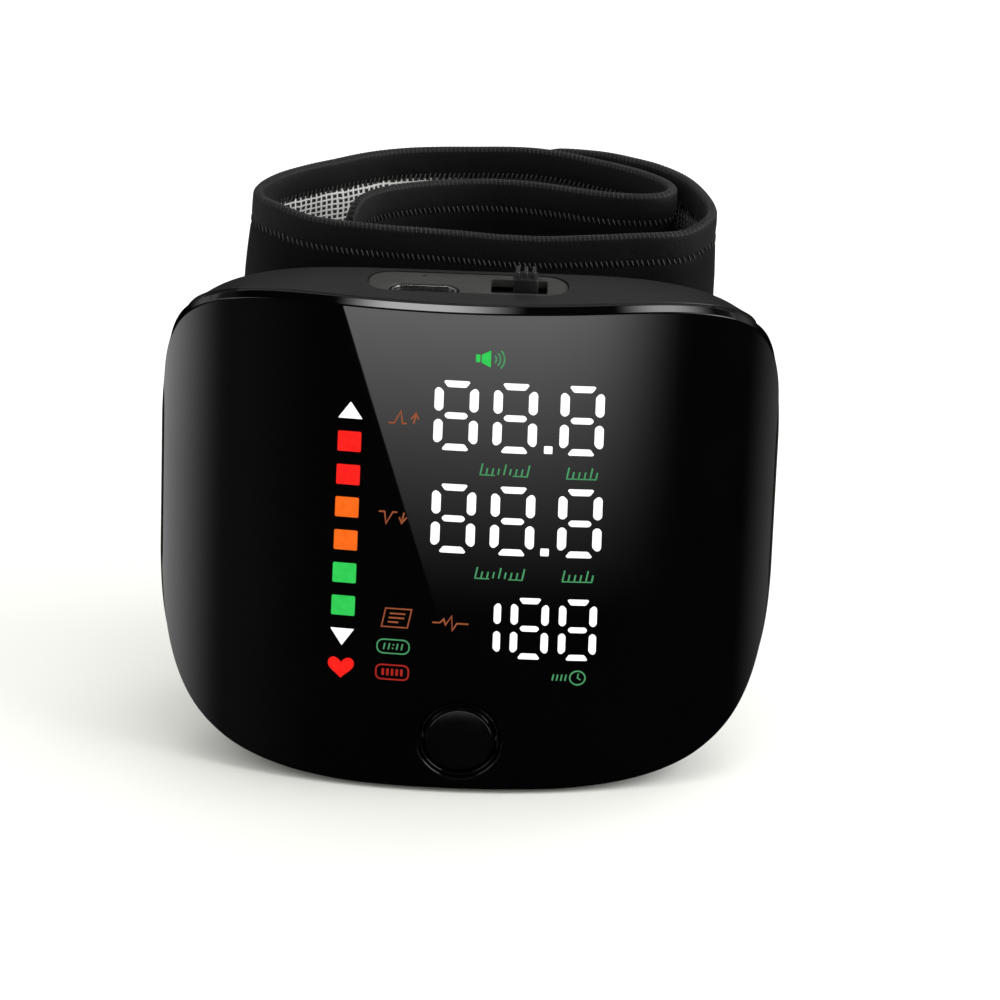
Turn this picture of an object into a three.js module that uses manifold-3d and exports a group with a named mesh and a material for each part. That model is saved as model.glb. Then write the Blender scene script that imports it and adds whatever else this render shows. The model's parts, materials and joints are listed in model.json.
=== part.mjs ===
// Wrist blood pressure monitor: a curved casing with an LED front panel, a start
// button, a charging port and a slide switch, worn on a coiled fabric cuff.
// Millimetres, +Z up, the display faces -Y, +X is the viewer's right.
// While modelling, Y is the depth behind the foremost point of the front panel and
// heights count from a datum FOOT_Z below the foot; the outer group then centres the
// whole object on the origin in Y and stands it on Z = 0.

import * as THREE from 'three';
import { mergeVertices } from 'three/addons/utils/BufferGeometryUtils.js';
import Module from 'manifold-3d';

const wasm = await Module();
wasm.setup();

// ---------------------------------------------------------------- dimensions
const CASE_W = 90;            // casing width
const CASE_TOP = 80;          // height of the deck
const FOOT_Z = 3.2;           // height of the casing's foot and of the cuff's lower rim
const MID_Z = 44;             // height where the casing is widest
const SQUARE_TOP = 5.8;       // superellipse exponent of the upper corners at the panel
const SQUARE_REAR = 4.5;      // and at the deck's rear edge, where they are rounder
const SQUARE_BOTTOM = 4;      // superellipse exponent of the lower corners
const FOOT_FLAT = 0.1;        // depth shaved off to give the flat foot
const BULGE_R = 100;          // plan radius of the front face
const BULGE_X = 33;           // half width covered by that radius
const SIDE_R = 20.76;         // plan radius that wraps the face to the sides
const DECK_D = 16.5;          // rear edge of the panel sides and of the deck
const COVER_D = 16.8;         // front edge of the rear cover
const BACK_D = 22;            // flat back of the rear cover
const PANEL_T = 2;            // front panel thickness
const BEVEL_Z = 0.6;          // bevel along the panel's top and bottom edges, measured up the face
const BEVEL_D = 1.4;          // the same bevel, measured into the depth
const GAP = 0.3;              // assembly gap
const WALL_T = 1.6;           // housing front wall
const SHELL_T = 2;            // housing side wall and deck
const DECK_SLOPE = 0.06;      // fall of the deck towards the back

const BUTTON_Z = 11.7;        // start button centre height
const BUTTON_R = 5.3;         // start button radius
const RING_R = 5.85;          // outer radius of the ring round the button

const INLAY = { x: -0.93, d: 11.2, w: 28.9, h: 8.6, r: 3.7, top: 79.15, t: 1.2 };
const USB = { x: -7.2, d: 9.05, w: 9.4, h: 3.6, len: 7.2, wall: 0.36 };
const SLOT = { x: 6.4, d: 11.4, w: 8, h: 5 };
const KNOB_X = 7.3;           // slide knob position as delivered (right-hand stop)

const PCB = { d: 8.4, t: 1.0, half: 27.5, top: 71.2, bottom: 20, tabHalf: 14, tabBottom: 7.6 };
const SCREWS = [[-33, 67], [33, 67], [-31, 17.5], [31, 17.5]];
const PLATE_SCREWS = [[-20, 70], [20, 70]];
const NOZZLE = { x: 28, z: 33 };
const PUMP = { x: 14, d: 14.8 };

const CUFF_T = 1.8;           // cuff strip thickness
const CUFF_TOP = 83;        // height of the cuff's upper rim
const HEM = 4.6;              // height of the edge binding
const FLAP_CUT = 42.4;        // length of the free flap along the strip
const DEPTH = 58.2;           // overall depth, front panel to back of cuff

// centre line of the coiled cuff strip in plan (x, depth), from the free flap's end inwards
const STRIP = [
  [5.4, 57.3], [11.4, 57], [16.5, 56.2], [21.5, 54.4], [26.3, 51.2], [30.2, 46.1], [32.6, 39.8], [33.5, 34.7],
  [33, 31.6], [30.7, 28.8], [27.2, 26.9], [21.3, 25.7], [14, 25.3], [6, 25.2], [-2, 25.2], [-8, 25.3],
  [-15, 25.8], [-20.6, 26.8], [-25, 28.5], [-28.6, 30.8], [-31, 33.2], [-31.8, 35.6], [-31.2, 38.4],
  [-29.2, 41.8], [-25.6, 45.5], [-21.4, 48.9], [-17.6, 51.5], [-13.4, 53.6], [-8, 55], [-2.4, 55.7],
  [2.4, 55.7], [6.4, 55.2], [11.5, 54.1], [16.5, 52.7], [21.2, 50.6], [25.3, 47.7], [27.9, 44.7], [28.5, 42.2],
  [27.4, 40.3], [25, 39.4], [21, 39.2], [16.2, 40.1], [11.4, 41.5], [6.6, 42.5], [1.7, 42.9], [-3.2, 42.4],
  [-8, 41.1], [-12, 39.4], [-15.3, 37.1], [-17.6, 33.8], [-19.2, 29.8],
];

// ------------------------------------------------------------------- helpers
function toSolid(geometry) {
  const g = geometry.clone();
  g.deleteAttribute('normal');
  g.deleteAttribute('uv');
  const w = mergeVertices(g, 1e-4);
  return new wasm.Manifold(new wasm.Mesh({
    numProp: 3,
    vertProperties: new Float32Array(w.attributes.position.array),
    triVerts: new Uint32Array(w.index.array),
  }));
}

function toGeometry(solid) {
  const m = solid.getMesh();
  const g = new THREE.BufferGeometry();
  g.setAttribute('position', new THREE.BufferAttribute(new Float32Array(m.vertProperties), 3));
  g.setIndex(new THREE.BufferAttribute(new Uint32Array(m.triVerts), 1));
  g.computeVertexNormals();
  return g;
}

// box between two corners
function box(x0, x1, d0, d1, z0, z1) {
  const g = new THREE.BoxGeometry(x1 - x0, d1 - d0, z1 - z0);
  g.translate((x0 + x1) / 2, (d0 + d1) / 2, (z0 + z1) / 2);
  return g;
}

// solid of revolution about an axis along X, Y or Z; profile is [radius, height] pairs
function turned(profile, axis, x, d, z, sides = 24) {
  const g = new THREE.LatheGeometry(profile.map(([r, h]) => new THREE.Vector2(r, h)), sides);
  if (axis === 'y') { /* lathe axis is Y already */ }
  if (axis === 'z') g.rotateX(Math.PI / 2);
  if (axis === 'x') g.rotateZ(-Math.PI / 2);
  g.translate(x, d, z);
  return g;
}

// plain cylinder from a to b along an axis
function rod(r, a, b, axis, x, d, z, sides = 20) {
  return turned([[0, a], [r, a], [r, b], [0, b]], axis, x, d, z, sides);
}

function roundedRect(x, y, w, h, r) {
  const s = new THREE.Shape();
  const x0 = x - w / 2, x1 = x + w / 2, y0 = y - h / 2, y1 = y + h / 2;
  s.moveTo(x0 + r, y0);
  s.lineTo(x1 - r, y0);
  s.absarc(x1 - r, y0 + r, r, -Math.PI / 2, 0, false);
  s.lineTo(x1, y1 - r);
  s.absarc(x1 - r, y1 - r, r, 0, Math.PI / 2, false);
  s.lineTo(x0 + r, y1);
  s.absarc(x0 + r, y1 - r, r, Math.PI / 2, Math.PI, false);
  s.lineTo(x0, y0 + r);
  s.absarc(x0 + r, y0 + r, r, Math.PI, 1.5 * Math.PI, false);
  return s;
}

// prism of a plan shape (x, depth) standing between two heights
function standing(shape, z0, z1, curveSegments = 6) {
  const g = new THREE.ExtrudeGeometry(shape, { depth: z1 - z0, bevelEnabled: false, curveSegments });
  g.translate(0, 0, z0);
  return g;
}

// prism of a front-view shape (x, z) running between two depths
function facing(shape, d0, d1, curveSegments = 6) {
  const g = new THREE.ExtrudeGeometry(shape, { depth: d1 - d0, bevelEnabled: false, curveSegments });
  g.rotateX(Math.PI / 2);
  g.translate(0, d1, 0);
  return g;
}

// closed skin through loops of equal length, capped at both ends
function loft(loops, capPlane) {
  const n = loops[0].length;
  const pos = [];
  for (const loop of loops) for (const p of loop) pos.push(p[0], p[1], p[2]);
  const idx = [];
  for (let k = 0; k + 1 < loops.length; k++) {
    for (let i = 0; i < n; i++) {
      const a = k * n + i, b = k * n + (i + 1) % n, c = a + n, e = b + n;
      idx.push(a, b, e, a, e, c);
    }
  }
  const flat = (loop) => loop.map((p) => new THREE.Vector2(...capPlane(p)));
  const last = (loops.length - 1) * n;
  const turns = THREE.ShapeUtils.area(flat(loops[0])) > 0;
  const cap = (loop, base, forward) => {
    for (const [a, b, c] of THREE.ShapeUtils.triangulateShape(flat(loop), [])) {
      if (forward === turns) idx.push(base + a, base + b, base + c);
      else idx.push(base + c, base + b, base + a);
    }
  };
  cap(loops[0], 0, false);
  cap(loops[loops.length - 1], last, true);
  // the winding is chosen so that the enclosed volume is positive
  let vol = 0;
  const v = (i) => new THREE.Vector3(pos[3 * i], pos[3 * i + 1], pos[3 * i + 2]);
  for (let i = 0; i < idx.length; i += 3) vol += v(idx[i]).dot(v(idx[i + 1]).cross(v(idx[i + 2])));
  if (vol < 0) for (let i = 0; i < idx.length; i += 3) [idx[i], idx[i + 1]] = [idx[i + 1], idx[i]];
  const g = new THREE.BufferGeometry();
  g.setAttribute('position', new THREE.BufferAttribute(new Float32Array(pos), 3));
  g.setIndex(idx);
  g.computeVertexNormals();
  return g;
}

// tube of a flexible hose along points
function hose(points, r, steps) {
  const path = new THREE.CatmullRomCurve3(points.map((p) => new THREE.Vector3(...p)), false, 'centripetal');
  const s = new THREE.Shape();
  s.absarc(0, 0, r, 0, 2 * Math.PI, false);
  return new THREE.ExtrudeGeometry(s, { extrudePath: path, steps, bevelEnabled: false, curveSegments: 4 });
}

// ------------------------------------------------------- casing form functions
const SIDE_SIN = BULGE_X / BULGE_R;
const SIDE_COS = Math.sqrt(1 - SIDE_SIN * SIDE_SIN);
const SIDE_CX = BULGE_X - SIDE_R * SIDE_SIN;
const SIDE_CD = BULGE_R * (1 - SIDE_COS) + SIDE_R * SIDE_COS;

const topZ = (x) => MID_Z + (CASE_TOP - MID_Z)
  * Math.pow(Math.max(0, 1 - Math.pow(Math.abs(x) / (CASE_W / 2), SQUARE_TOP)), 1 / SQUARE_TOP);
const bottomZ = (x) => Math.max(FOOT_Z, MID_Z - (MID_Z - FOOT_Z + FOOT_FLAT)
  * Math.pow(Math.max(0, 1 - Math.pow(Math.abs(x) / (CASE_W / 2), SQUARE_BOTTOM)), 1 / SQUARE_BOTTOM));

// depth and slope angle of the front face at x
function face(x, off = 0) {
  const a = Math.abs(x);
  const split = (BULGE_R - off) * SIDE_SIN;
  if (a <= split) {
    const s = a / (BULGE_R - off);
    return { d: BULGE_R - (BULGE_R - off) * Math.sqrt(1 - s * s), sin: Math.sign(x) * s, cos: Math.sqrt(1 - s * s) };
  }
  const s = Math.min(0.9999, (a - SIDE_CX) / (SIDE_R - off));
  const c = Math.sqrt(1 - s * s);
  return { d: SIDE_CD - (SIDE_R - off) * c, sin: Math.sign(x) * s, cos: c };
}

// plan region behind the face offset inwards by off, as far back as dMax
function behindFace(off, dMax) {
  const half = [];
  for (let i = 0; i <= 9; i++) {
    const s = SIDE_SIN * i / 9;
    half.push([(BULGE_R - off) * s, BULGE_R - (BULGE_R - off) * Math.sqrt(1 - s * s)]);
  }
  const t0 = Math.asin(SIDE_SIN), t1 = Math.acos((SIDE_CD - dMax) / (SIDE_R - off));
  for (let i = 1; i <= 8; i++) {
    const t = t0 + (t1 - t0) * i / 8;
    half.push([SIDE_CX + (SIDE_R - off) * Math.sin(t), SIDE_CD - (SIDE_R - off) * Math.cos(t)]);
  }
  const left = half.slice(1).reverse().map(([x, d]) => [-x, d]);
  return new THREE.Shape([...left, ...half].map(([x, d]) => new THREE.Vector2(x, d)));
}

// casing outline in front view, evenly spaced points [x, z]
function outline(count, top = SQUARE_TOP) {
  const dense = [];
  for (let i = 0; i < 2880; i++) {
    const a = 2 * Math.PI * i / 2880, c = Math.cos(a), s = Math.sin(a);
    const e = s >= 0 ? top : SQUARE_BOTTOM;
    const h = s >= 0 ? CASE_TOP - MID_Z : MID_Z - FOOT_Z + FOOT_FLAT;
    const x = CASE_W / 2 * Math.sign(c) * Math.pow(Math.abs(c), 2 / e);
    const z = MID_Z + h * Math.sign(s) * Math.pow(Math.abs(s), 2 / e);
    dense.push([x, Math.max(FOOT_Z, z)]);
  }
  const cum = [0];
  for (let i = 1; i <= dense.length; i++) {
    const p = dense[i - 1], q = dense[i % dense.length];
    cum.push(cum[i - 1] + Math.hypot(q[0] - p[0], q[1] - p[1]));
  }
  const total = cum[dense.length], out = [];
  let k = 0;
  for (let i = 0; i < count; i++) {
    const target = total * i / count;
    while (cum[k + 1] < target) k++;
    const f = (target - cum[k]) / (cum[k + 1] - cum[k] || 1);
    const p = dense[k], q = dense[(k + 1) % dense.length];
    out.push([p[0] + f * (q[0] - p[0]), p[1] + f * (q[1] - p[1])]);
  }
  return out;
}
const CENTRE_Z = (CASE_TOP + FOOT_Z) / 2, HALF_H = (CASE_TOP - FOOT_Z) / 2;
const inset = (p, i) => [p[0] * (1 - i / (CASE_W / 2)), CENTRE_Z + (p[1] - CENTRE_Z) * (1 - i / HALF_H)];
const smooth = (t) => { const u = Math.min(1, Math.max(0, t)); return u * u * (3 - 2 * u); };

const OUTLINE = [outline(60), outline(60, SQUARE_REAR)];
const INNER = [outline(32), outline(32, SQUARE_REAR)];      // coarser outlines for hidden inner walls
// outline point at depth d: behind the panel the corners grow rounder and the deck falls
function section(p, q, d) {
  const f = face(Math.max(-42, Math.min(42, p[0])));
  const front = f.d + (PANEL_T + GAP) * f.cos;
  const w = Math.min(1, Math.max(0, (d - front) / (DECK_D - front)));
  const x = p[0] + (q[0] - p[0]) * w, z = p[1] + (q[1] - p[1]) * w;
  return [x, z - DECK_SLOPE * (DECK_D - front) * w * smooth((z - 58) / 14)];
}
const caseLoop = (d, i, [ahead, rear] = OUTLINE) => ahead.map((p, k) => {
  const [x, z] = inset(section(p, rear[k], d), i);
  return [x, d, z];
});
const xz = (p) => [p[0], p[2]];

// ----------------------------------------------------------------- materials
const MAT = {
  gloss: { color: 0x050506, roughness: 0.06, metalness: 0 },
  satin: { color: 0x1d1e1e, roughness: 0.42, metalness: 0 },
  inlay: { color: 0x2e2f2e, roughness: 0.5, metalness: 0 },
  steel: { color: 0x9a9a98, roughness: 0.3, metalness: 1 },
  white: { color: 0xe8e8e6, roughness: 0.6, metalness: 0 },
  guide: { color: 0xf4f4f0, roughness: 0.35, metalness: 0 },
  board: { color: 0x11502c, roughness: 0.5, metalness: 0 },
  chip: { color: 0x161616, roughness: 0.55, metalness: 0 },
  cell: { color: 0x9fa4a8, roughness: 0.45, metalness: 0.2 },
  brass: { color: 0xb08d3c, roughness: 0.3, metalness: 1 },
  rubber: { color: 0x1a1a1a, roughness: 0.8, metalness: 0 },
  hose: { color: 0xc9c4b4, roughness: 0.5, metalness: 0 },
  fabric: { color: 0x111111, roughness: 0.95, metalness: 0 },
  mesh: { color: 0x8d8d8b, roughness: 0.95, metalness: 0 },
  hook: { color: 0x1c1c1d, roughness: 0.9, metalness: 0 },
};
const monitor = new THREE.Group();
const assembly = new THREE.Group();
assembly.position.set(0, -DEPTH / 2, -FOOT_Z);
monitor.add(assembly);

function put(name, geometry, mat) {
  const m = new THREE.Mesh(geometry, new THREE.MeshStandardMaterial(MAT[mat]));
  m.name = name;
  assembly.add(m);
  return m;
}
const putSolid = (name, solid, mat) => put(name, toGeometry(solid), mat);
const S = toSolid;

// --------------------------------------------------------------- front panel
// a sheet bent to the face curve, bevelled along its top and bottom edges
const panelLoops = [];
for (let k = -18; k <= 18; k++) {
  const x = 44.95 * Math.sin(k / 18 * Math.PI / 2);
  const f = face(x);
  const at = (n, z) => [x - n * f.sin, f.d + n * f.cos, z];
  const zt = topZ(x), zb = bottomZ(x);
  panelLoops.push([
    at(0, zb + BEVEL_Z), at(0, zt - BEVEL_Z), at(BEVEL_D, zt), at(PANEL_T, zt), at(PANEL_T, zb), at(BEVEL_D, zb),
  ]);
}
const panel = S(loft(panelLoops, (p) => [p[1], p[2]]))
  .intersect(S(box(-60, 60, -10, DECK_D, -10, 100)))
  .subtract(S(rod(RING_R + GAP, -3, 5, 'y', 0, 0, BUTTON_Z, 32)));
putSolid('front_panel', panel, 'gloss');

// -------------------------------------------------------------- main housing
// deck, floor and front wall in one shell, open towards the rear cover
const housingOuter = S(loft([2, 6, 9, 12, 14.2, DECK_D].map((d) => caseLoop(d, 0)), xz))
  .intersect(S(standing(behindFace(PANEL_T + GAP, DECK_D), -10, 100)));
const housingCavity = S(loft([2, 9, DECK_D + 1].map((d) => caseLoop(d, SHELL_T, INNER)), xz))
  .intersect(S(standing(behindFace(PANEL_T + GAP + WALL_T, DECK_D + 1), -10, 100)));
let housing = housingOuter.subtract(housingCavity);
for (const [x, z] of SCREWS) {
  housing = housing.add(S(rod(2.7, 6, DECK_D - 0.1, 'y', x, 0, z, 10)).intersect(housingOuter));
}
for (const [x, z] of SCREWS) housing = housing.subtract(S(rod(1.3, 11.5, 20, 'y', x, 0, z, 8)));
housing = housing
  .subtract(S(box(-22, 22, -5, 8.2, 18.6, 75.6)))
  .subtract(S(rod(BUTTON_R + GAP, -3, 7, 'y', 0, 0, BUTTON_Z, 32)))
  .subtract(S(standing(roundedRect(INLAY.x, INLAY.d, INLAY.w, INLAY.h, INLAY.r), 74, 90)));
for (const x of [-23, -20.4, -17.8, -15.2]) {
  housing = housing.subtract(S(standing(roundedRect(x, 12, 1.1, 4.6, 0.54), 1, 8, 3)));
}
putSolid('main_housing', housing, 'satin');

// ---------------------------------------------------------------- rear cover
const rim = (d, i, [ahead, rear] = OUTLINE) => ahead.map((p, k) => {
  const [x, z] = inset(section(p, rear[k], DECK_D), i);
  return [x, d, z];
});
let rear = S(loft([[COVER_D, 0.3], [18.6, 0.9], [20.4, 2.5], [21.5, 4.4], [BACK_D, 6.2]]
  .map(([d, i]) => rim(d, i)), xz))
  .subtract(S(loft([[COVER_D - 1, 2.4], [20.2, 4.6]].map(([d, i]) => rim(d, i, INNER)), xz)));
for (const [x, z] of SCREWS) rear = rear.add(S(rod(2.7, 17.2, 21, 'y', x, 0, z, 12)));
for (const [x, z] of SCREWS) {
  rear = rear.subtract(S(rod(1.3, 15, 25, 'y', x, 0, z, 8))).subtract(S(rod(2.6, 20.4, 25, 'y', x, 0, z, 12)));
}
for (const [x, z] of PLATE_SCREWS) rear = rear.subtract(S(rod(1.2, 15, 25, 'y', x, 0, z, 12)));
rear = rear.subtract(S(rod(2.45, 15, 25, 'y', NOZZLE.x, 0, NOZZLE.z, 16)));
putSolid('rear_cover', rear, 'satin');
SCREWS.forEach(([x, z], i) => put(`housing_screw_${i + 1}`, turned(
  [[0, 11.9], [1, 11.9], [1, 20.7], [2.2, 20.7], [2.2, 21.5], [1.9, 21.8], [0, 21.8]], 'y', x, 0, z, 10), 'steel'));

// ----------------------------------------------------- port inlay on the deck
let inlay = S(standing(roundedRect(INLAY.x, INLAY.d, INLAY.w - 2 * GAP, INLAY.h - 2 * GAP, INLAY.r - GAP),
  INLAY.top - INLAY.t, INLAY.top))
  .subtract(S(standing(roundedRect(USB.x, USB.d, USB.w + 0.7, USB.h + 0.7, (USB.h + 0.7) / 2 - 0.05), 70, 90)))
  .subtract(S(box(SLOT.x - SLOT.w / 2, SLOT.x + SLOT.w / 2, SLOT.d - SLOT.h / 2, SLOT.d + SLOT.h / 2, 70, 90)));
putSolid('port_inlay', inlay, 'inlay');

const usbTop = INLAY.top - 0.05, usbFloor = usbTop - USB.len;
putSolid('usb_shell', S(standing(roundedRect(USB.x, USB.d, USB.w, USB.h, USB.h / 2 - 0.05), usbFloor, usbTop))
  .subtract(S(standing(roundedRect(USB.x, USB.d, USB.w - 2 * USB.wall, USB.h - 2 * USB.wall,
    USB.h / 2 - USB.wall - 0.05), usbFloor + 0.6, 90))), 'steel');
put('usb_tongue', box(USB.x - 3.3, USB.x + 3.3, USB.d - 0.35, USB.d + 0.35, usbFloor + 0.9, usbTop - 0.9), 'chip');

// slide switch: body with a groove for the knob's stem, knob with three grip ribs
putSolid('slide_switch_body', S(box(1.9, 10.9, 9.0, 14.0, 72.6, 77.3))
  .subtract(S(box(3.6, 9.4, SLOT.d - 1.2, SLOT.d + 1.2, 74.8, 80))), 'chip');
let knob = S(box(KNOB_X - 0.9, KNOB_X + 0.9, SLOT.d - 0.8, SLOT.d + 0.8, 75.2, 79))
  .add(S(box(KNOB_X - 1.8, KNOB_X + 1.8, SLOT.d - 1.7, SLOT.d + 1.7, 77.7, 80.9)));
for (const o of [-1.17, 0, 1.17]) {
  knob = knob.add(S(box(KNOB_X + o - 0.31, KNOB_X + o + 0.31, SLOT.d - 1.3, SLOT.d + 1.3, 80.5, 81.9)));
}
putSolid('switch_knob', knob, 'rubber');

// ------------------------------------------------- start button and its switch
put('button_ring', turned([[5.55, 1.9], [5.55, 0.5], [5.62, 0.34], [5.76, 0.28], [RING_R, 0.36], [RING_R, 1.9], [5.55, 1.9]],
  'y', 0, 0, BUTTON_Z, 28), 'gloss');
put('start_button', turned([[0, 0.4], [2.6, 0.44], [4.2, 0.54], [4.8, 0.68], [5.16, 0.98], [BUTTON_R, 1.5], [BUTTON_R, 4.2], [6, 4.2],
  [6, 5.0], [1.6, 5.0], [1.6, 5.3], [0, 5.3]], 'y', 0, 0, BUTTON_Z, 28), 'gloss');
putSolid('tact_switch_body', S(box(-3, 3, 6.2, 8.1, BUTTON_Z - 3, BUTTON_Z + 3))
  .subtract(S(rod(1.9, 5, 8.0, 'y', 0, 0, BUTTON_Z, 16))), 'chip');
put('tact_plunger', rod(1.5, 5.6, 7.1, 'y', 0, 0, BUTTON_Z, 16), 'white');

// ------------------------------------------------------------------ display
const GUIDE_FRONT = 4.45, GUIDE_D = 5.2, GUIDE_BACK = 5.9;
const boss = (x, z, w, h) => S(box(x - w / 2, x + w / 2, GUIDE_FRONT, GUIDE_D + 0.2, z - h / 2, z + h / 2));
// seven-segment digit of light-guide bosses: half width, half height, stroke
function digit(x, z, hw, hh, stroke, only) {
  const h = 2 * hw - stroke - 0.4, v = hh - stroke - 0.4;
  const seg = {
    a: [x, z + hh, h, stroke], g: [x, z, h, stroke], d: [x, z - hh, h, stroke],
    f: [x - hw, z + hh / 2, stroke, v], b: [x + hw, z + hh / 2, stroke, v],
    e: [x - hw, z - hh / 2, stroke, v], c: [x + hw, z - hh / 2, stroke, v],
  };
  return [...only].map((k) => boss(...seg[k]));
}
let digits = S(box(-6, 20.6, GUIDE_D, GUIDE_BACK, 23.5, 75));
const digitBosses = [];
for (const z of [63.8, 47.4]) {
  for (const x of [-2.2, 6.5, 16.2]) digitBosses.push(...digit(x, z, 2.58, 5.0, 1.1, 'abcdefg'));
  digitBosses.push(boss(11.3, z - 5, 1.1, 1.1));
}
digitBosses.push(...digit(2.6, 30.2, 2.25, 4.5, 0.9, 'bc'));
for (const x of [9.6, 16.6]) digitBosses.push(...digit(x, 30.2, 2.25, 4.5, 0.9, 'abcdefg'));
digitBosses.push(boss(2.4, 72.9, 4.4, 2.6));
for (const b of digitBosses) digits = digits.add(b);
putSolid('digit_light_guide', digits, 'guide');

let bars = S(box(-20.4, -15, GUIDE_D, GUIDE_BACK, 20, 66.2));
for (let i = 0; i < 6; i++) bars = bars.add(boss(-17.8, 58.6 - 5.28 * i, 3.2, 3.2));
for (const [z, h] of [[63.6, 2.2], [27.1, 2.2], [22.2, 2.8]]) bars = bars.add(boss(-17.8, z, 3, h));
putSolid('bar_light_guide', bars, 'guide');

let icons = S(box(-14.6, -6.4, GUIDE_D, GUIDE_BACK, 18.8, 66.2));
for (const [x, z, w, h] of [[-9.6, 63.6, 4.4, 2.3], [-10.6, 46.6, 4.6, 2.2], [-11, 30.2, 4.4, 3.6], [-11.2, 25.6, 4.8, 2.4],
  [-11.2, 21.4, 4.8, 2.4]]) icons = icons.add(boss(x, z, w, h));
putSolid('icon_light_guide', icons, 'guide');

// white reflector block with one light well for each group of segments
let reflector = S(box(-21, 21, 6.2, 8.1, 19.2, 75.2));
for (const z of [63.8, 47.4]) for (const x of [-2.2, 6.5, 16.2]) reflector = reflector.subtract(S(box(x - 3.4, x + 3.4, 5, 9, z - 5.8, z + 5.8)));
for (const x of [3.6, 9.9, 16.6]) reflector = reflector.subtract(S(box(x - 2.7, x + 2.7, 5, 9, 25, 35.4)));
reflector = reflector.subtract(S(box(-20, -15.6, 5, 9, 21, 65)))
  .subtract(S(box(-14, -7, 5, 9, 20, 65)))
  .subtract(S(box(USB.x - 5.2, USB.x + 5.2, USB.d - 2.2, 9, 71.2, 80)));
putSolid('led_reflector', reflector, 'white');
putSolid('display_gasket', S(box(-24.1, 24.1, 7.5, 8.1, 17.2, 76))
  .subtract(S(box(USB.x - 5.2, USB.x + 5.2, USB.d - 2.2, 9, 71.2, 80)))
  .subtract(S(box(-22.3, 22.3, 7, 9, 18.4, 75.5))), 'rubber');

// ----------------------------------------------------------- circuit board
const bd = PCB.d + PCB.t;
let board = S(box(-PCB.half, PCB.half, PCB.d, bd, PCB.bottom, PCB.top))
  .add(S(box(-PCB.tabHalf, PCB.tabHalf, PCB.d, bd, PCB.tabBottom, PCB.bottom + 1)));
for (const x of [-25.4, 25.4]) board = board.subtract(S(rod(1.25, 0, 20, 'y', x, 0, 45, 12)));
putSolid('main_pcb', board, 'board');
[-25.4, 25.4].forEach((x, i) => put(`pcb_screw_${i + 1}`, turned(
  [[0, 7.7], [0.95, 7.7], [0.95, 9.7], [2, 9.7], [2, 10.5], [0, 10.5]], 'y', x, 0, 45, 10), 'steel'));
put('mcu_chip', box(-1.7, 6.3, bd + GAP, bd + GAP + 1.1, 52, 60), 'chip');
putSolid('pressure_sensor', S(box(-1.5, 5.5, bd + GAP, bd + 3.4, 28, 35))
  .add(S(rod(1.3, 5, 8.5, 'x', 0, 11.6, 31.5, 12))), 'white');
put('battery_cell', standing(roundedRect(-16.4, 13.8, 26.8, 5.6, 1.4), 25, 66), 'cell');
put('speaker_driver', turned([[0, 12], [9, 12], [9, 13.6], [8.2, 14], [6.2, 14.2], [6.2, 16.8], [0, 16.8]],
  'y', -19, 0, 15.5, 20), 'chip');

// -------------------------------------------------------------- pneumatics
const can = (z0, z1) => S(standing(roundedRect(PUMP.x, PUMP.d, 12, 9, 3.6), z0, z1, 5));
putSolid('pump_motor', can(38, 56).subtract(S(rod(1.3, 49, 60, 'z', PUMP.x, PUMP.d, 0, 12))), 'steel');
putSolid('pump_head', can(56.4, 67).subtract(S(rod(4, 50, 62.5, 'z', PUMP.x, PUMP.d, 0, 20)))
  .add(S(rod(1.3, 19.5, 22.4, 'x', 0, PUMP.d, 64.6, 12))), 'white');
putSolid('pump_shaft', S(rod(0.9, 50, 62, 'z', PUMP.x, PUMP.d, 0, 12))
  .add(S(rod(2.6, 57.2, 60.4, 'z', PUMP.x + 0.9, PUMP.d, 0, 20))), 'steel');

const MAN = { x0: 24.5, x1: 31.5, d0: 11.5, d1: 17, z0: 30, z1: 36 };
putSolid('air_manifold', S(box(MAN.x0, MAN.x1, MAN.d0, MAN.d1, MAN.z0, MAN.z1))
  .add(S(rod(1.3, 35, 38, 'z', 28, 14.4, 0, 12)))
  .add(S(rod(1.3, 28, 31, 'z', 26, 14.4, 0, 12)))
  .add(S(rod(1.3, 22.4, 25, 'x', 0, 14.4, 33, 12))), 'white');
put('pump_tube', hose([[22.8, 14.8, 64.6], [25.2, 14.8, 64.2], [27.4, 14.7, 62], [28, 14.6, 58], [28, 14.4, 46], [28, 14.4, 38.3]], 1.7, 14), 'hose');
put('sensor_tube', hose([[22.1, 14.4, 33], [19.4, 14.3, 33], [15, 12.8, 32.2], [11.4, 11.7, 31.5], [8.8, 11.6, 31.5]], 1.7, 10), 'hose');
put('valve_tube', hose([[26, 14.4, 27.7], [26, 14.4, 26], [25.6, 14.4, 24.8], [25.6, 14.4, 23.3]], 1.7, 4), 'hose');
putSolid('release_valve_body', S(box(17, 27.6, 10.4, 18.4, 9, 20))
  .add(S(rod(1.3, 19, 23, 'z', 25.6, 14.4, 0, 12)))
  .subtract(S(rod(1.65, 15, 24, 'x', 0, 14.4, 14.5, 14))), 'steel');
put('valve_plunger', rod(1.25, 15.2, 22.8, 'x', 0, 14.4, 14.5, 12), 'brass');
put('cuff_nozzle', turned([[0, 17.3], [2.1, 17.3], [2.1, 17.6], [3.4, 17.6], [3.4, 18.7], [2.1, 18.7], [2.1, 24.1], [1.7, 24.8], [0, 24.8]],
  'y', NOZZLE.x, 0, NOZZLE.z, 12), 'white');
put('nozzle_seal', turned([[2.45, 19], [3.4, 19], [3.6, 19.45], [3.4, 19.9], [2.45, 19.9], [2.45, 19]],
  'y', NOZZLE.x, 0, NOZZLE.z, 12), 'rubber');

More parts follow.
